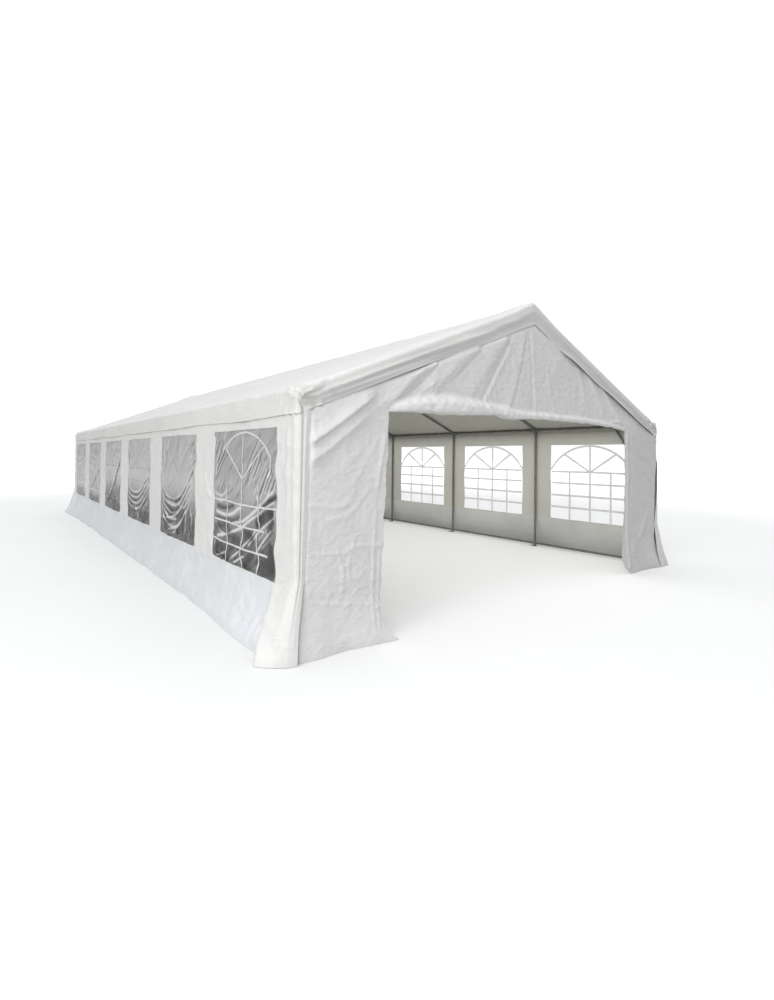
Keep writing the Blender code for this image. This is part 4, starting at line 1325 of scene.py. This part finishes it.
def rolled_door():
    """The door rolled up in loose turns: a lumpy roll, thin at its left end, on the gable's lower edge."""
    places = spaced(DOOR_LEFT + 0.002, DOOR_RIGHT - 0.002, 0.022)
    low, high = roll_edges(places)
    rng = np.random.RandomState(7)
    lumps = np.zeros(len(places))
    for _ in range(9):
        share = rng.uniform(0.4, 1)
        lumps += share * np.sin(places * 2 * math.pi / rng.uniform(0.18, 0.7) + rng.uniform(0, 6.28))
    low = low + 0.0012 * lumps
    high = high - 0.01
    x, angle = np.meshgrid(places, np.linspace(0, 2 * math.pi, 41))
    cross = np.abs(np.cos(angle)) ** 0.85 * np.sign(np.cos(angle))
    rise = np.abs(np.sin(angle)) ** 0.95 * np.sign(np.sin(angle))
    cross = cross * (1 - 0.55 * np.clip(rise, 0, 1) ** 1.5)
    spiral = 0.0015 * np.sin(angle * 3 + x * 2.5) + 0.001 * np.sin(angle * 5 - x * 3.0 + 1)
    spiral[-1] = spiral[0]
    y = -(END_FACE - 0.002) - cross * (roll_depth(low, high) - 0.003 + spiral)
    z = (low + high) / 2 + rise * ((high - low) / 2 + spiral * 0.8)
    points = np.stack([x, y, z], -1)
    left_end = points[:, 0, 1:].mean(0)
    points[:, 0, 1:] = left_end + (points[:, 0, 1:] - left_end) * 0.6
    roll = grid_object("door_roll", points, weld=True)
    ends = bmesh.new()
    ends.from_mesh(roll.data)
    bmesh.ops.holes_fill(ends, edges=[edge for edge in ends.edges if edge.is_boundary], sides=0)
    bmesh.ops.recalc_face_normals(ends, faces=ends.faces)
    ends.to_mesh(roll.data)
    ends.free()
    roll.data.shade_smooth()
    roll.data.materials.append(FRONT_CLOTH)
    place_piece(roll, "tarpaulin", "front_door_roll")


BACK_FOLDS = [
    ([(-2.88, 1.6), (-2.4, 1.78), (-1.95, 1.93)], 0.03, 0.02, (0.1, 0.3)),
    ([(2.88, 1.55), (2.5, 1.76), (2.12, 1.93)], 0.03, 0.018, (0.1, 0.3)),
    ([(-1.85, 1.98), (-1.45, 2.28), (-1.1, 2.52)], 0.026, 0.014, (0.1, 0.2)),
    ([(1.95, 1.98), (1.5, 2.22), (1.2, 2.48)], 0.026, 0.014, (0.1, 0.2)),
    ([(0.6, 1.98), (0.45, 2.4), (0.3, 2.8)], 0.03, 0.012, (0.1, 0.2)),
    ([(-0.55, 1.98), (-0.4, 2.4), (-0.25, 2.8)], 0.03, 0.012, (0.1, 0.2)),
    ([(-2.86, 0.78), (2.86, 0.76)], 0.012, 0.006, (0.02, 0.02), 1.4),
    ([(-2.86, 0.38), (2.86, 0.36)], 0.012, 0.005, (0.02, 0.02), 1.4),
]
for start in (-1.6, -1.1, -0.45, 0.1, 0.75, 1.3, 1.75):
    hanging = [(start, 1.85), (start + 0.06, 1.2), (start - 0.03, 0.15)]
    BACK_FOLDS.append((hanging, 0.045, 0.013, (0.15, 0.05)))


def back_height(x, z):
    out = folds(x, z, BACK_FOLDS)
    out = out + ripples(x, z, 141, 0.0025, (0.2, 0.7), 20, 60)
    out = out + creases(x, z, 142, 0.0045, (0.15, 0.5), 90, 90)
    covered = smooth((valance_line(x) + 0.02 - z) / 0.1)
    return 0.0008 + np.maximum(out, -0.003) * covered


def back_skirt(x, z, u):
    share = np.clip((0.42 - z) / 0.42, 0, 1) ** 1.7
    forward = share * (0.07 + 0.015 * np.sin(x * 5.0) + 0.01 * np.sin(x * 11.0))
    return forward, 0.02 * share * np.sign(x) * smooth((np.abs(x) - 2.3) / 0.6)


def back_wall():
    lines = (upright(-END_EDGE), upright(END_EDGE))
    wall = end_object("wall_back", lines, (ground_edge, end_top), 1, back_height, BACK_CELL, back_skirt)
    thicken(wall, CLOTH, FRONT_CLOTH, INNER_CLOTH)
    place_piece(wall, "tarpaulin", "back_wall", "back_door_curtain")
    zips = []
    for number, zip_x in enumerate((-DOOR_RIGHT, -DOOR_LEFT)):
        x, z = np.meshgrid(zip_x + np.array([-0.016, 0.0, 0.016]), spaced(0.02, 1.925, 0.02))
        out = back_height(x, z) + back_skirt(x, z, 0)[0] + 0.0016
        points = np.stack([x, END_FACE + out, z], -1)
        zips.append(face_out(grid_object(f"zip_{number}", points), (0, 1, 0)))
    strip = join_objects("door_zips", zips)
    thicken(strip, 0.0008, FRONT_CLOTH, FRONT_CLOTH)
    place_piece(strip, "tarpaulin")


# Steel frame


def dress_steel():
    """Steel on every tube, with its facets kept sharp only where they meet at more than 40 degrees."""
    for name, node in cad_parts.items():
        if any(word in name for word in ("purlin", "rail", "post", "rafter", "brace")):
            node.data.materials.clear()
            node.data.materials.append(STEEL)
            weld = node.modifiers.new("weld", "WELD")
            weld.merge_threshold = 1e-5
            split = node.modifiers.new("edges", "EDGE_SPLIT")
            split.split_angle = math.radians(40)
            node.data.shade_smooth()


# Studio


WHITE_LIGHT = (1.0, 1.0, 1.0, 1.0)


def sky():
    """A sky that is bright overhead and dim at the horizon, and plain white to the camera."""
    world = bpy.data.worlds.new("studio")
    bpy.context.scene.world = world
    world.use_nodes = True
    nodes = Nodes(world.node_tree)
    direction = nodes.add("ShaderNodeTexCoord").outputs["Generated"]
    upward = nodes.add("ShaderNodeSeparateXYZ", {0: direction}).outputs["Z"]
    overhead = nodes.times(upward, upward)
    strength = nodes.add("ShaderNodeMapRange", {"Value": overhead, "To Min": 0.14, "To Max": 1.95}).outputs[0]
    lighting = world.node_tree.nodes["Background"]
    nodes.feed(lighting.inputs["Color"], (0.97, 0.985, 1.0, 1.0))
    nodes.feed(lighting.inputs["Strength"], strength)
    backdrop = nodes.add("ShaderNodeBackground", {"Strength": 1.1, "Color": WHITE_LIGHT})
    shaders = {0: nodes.for_camera(), 1: lighting.outputs[0], 2: backdrop.outputs[0]}
    either = nodes.add("ShaderNodeMixShader", shaders).outputs[0]
    nodes.feed(world.node_tree.nodes["World Output"].inputs["Surface"], either)


def studio_floor():
    """A pale floor that fades into the white backdrop, and glows less under the tent."""
    paint = Painter("studio_floor")
    shade = paint.noise(0.6, 3.0)
    far = paint.ranged(paint.distance(paint.place), 9.0, 26.0, 0.0, 0.56)
    near = paint.ranged(paint.distance(paint.stretched((2.0, 1.0, 1.0))), 2.0, 8.0, 0.05, 0.19)
    glow = paint.times(paint.for_camera(), paint.plus(far, near))
    paint.set(Base_Color=paint.mix(shade, (0.56, 0.56, 0.56), (0.59, 0.59, 0.59)), Roughness=0.9)
    paint.set(Specular_IOR_Level=0.1, Emission_Color=WHITE_LIGHT, Emission_Strength=glow)
    bpy.ops.mesh.primitive_plane_add(size=400, location=(0, 0, 0))
    floor = bpy.context.object
    floor.name = "floor"
    floor.data.materials.append(paint.material)


def add_light(name, kind, energy, place=(0, 0, 0), aim=(0, 0, -1), **settings):
    data = bpy.data.lights.new(name, kind)
    data.energy = energy
    for key, value in settings.items():
        setattr(data, key, value)
    light = bpy.data.objects.new(name, data)
    light.location = place
    light.rotation_euler = Vector(aim).to_track_quat("-Z", "Y").to_euler()
    bpy.context.scene.collection.objects.link(light)
    return light


def studio():
    view = bpy.context.scene.view_settings
    view.view_transform = "Standard"
    view.look = "None"
    sky()
    studio_floor()
    sun_colour = (1.0, 0.995, 0.98)
    add_light("key", "SUN", 1.3, aim=(0.8, 0.22, -0.56), angle=math.radians(30), color=sun_colour)
    inside = add_light("inside", "AREA", 160, (0.45, -1.95, 1.98), shape="RECTANGLE", size=4.6, size_y=7.6)
    inside.visible_camera = False
    inside.visible_glossy = False
    corner = (-2.6, -5.9, 0.9)
    place = (-8.5, -11.5, 3.2)
    box = add_light("softbox", "AREA", 290, place, Vector(corner) - Vector(place), shape="SQUARE", size=2.6)
    box.visible_camera = False


# The camera fitted to the photo: its place, its turns in radians, its lens in mm, its shift in picture widths
EYE = (-4.8048, -9.2308, 1.5272)
YAW, PITCH, ROLL = 0.6422, 0.0172, 0.0114
LENS = 18.185
SHIFT = (0.02186, -0.05221)


def camera():
    ahead = Vector((math.sin(YAW) * math.cos(PITCH), math.cos(YAW) * math.cos(PITCH), math.sin(PITCH)))
    level = Vector((math.cos(YAW), -math.sin(YAW), 0.0))
    upright_axis = level.cross(ahead)
    right = math.cos(ROLL) * level + math.sin(ROLL) * upright_axis
    up = -math.sin(ROLL) * level + math.cos(ROLL) * upright_axis
    data = bpy.data.cameras.new("camera")
    data.lens = LENS
    data.sensor_width = 36.0
    data.shift_x, data.shift_y = SHIFT
    data.clip_end = 500.0
    eye = bpy.data.objects.new("camera", data)
    eye.matrix_world = Matrix.Translation(EYE) @ Matrix((right, up, -ahead)).transposed().to_4x4()
    bpy.context.scene.collection.objects.link(eye)
    bpy.context.scene.camera = eye


roof_cover()
side_wall("wall_left", -1, "left_wall")
side_wall("wall_right", 1, "right_wall")
film("film_left", -1, "left_window_film")
film("film_right", 1, "right_window_film")
bars("bars_left", -1)
bars("bars_right", 1)
front_wall()
rolled_door()
back_wall()
dress_steel()
studio()
camera()
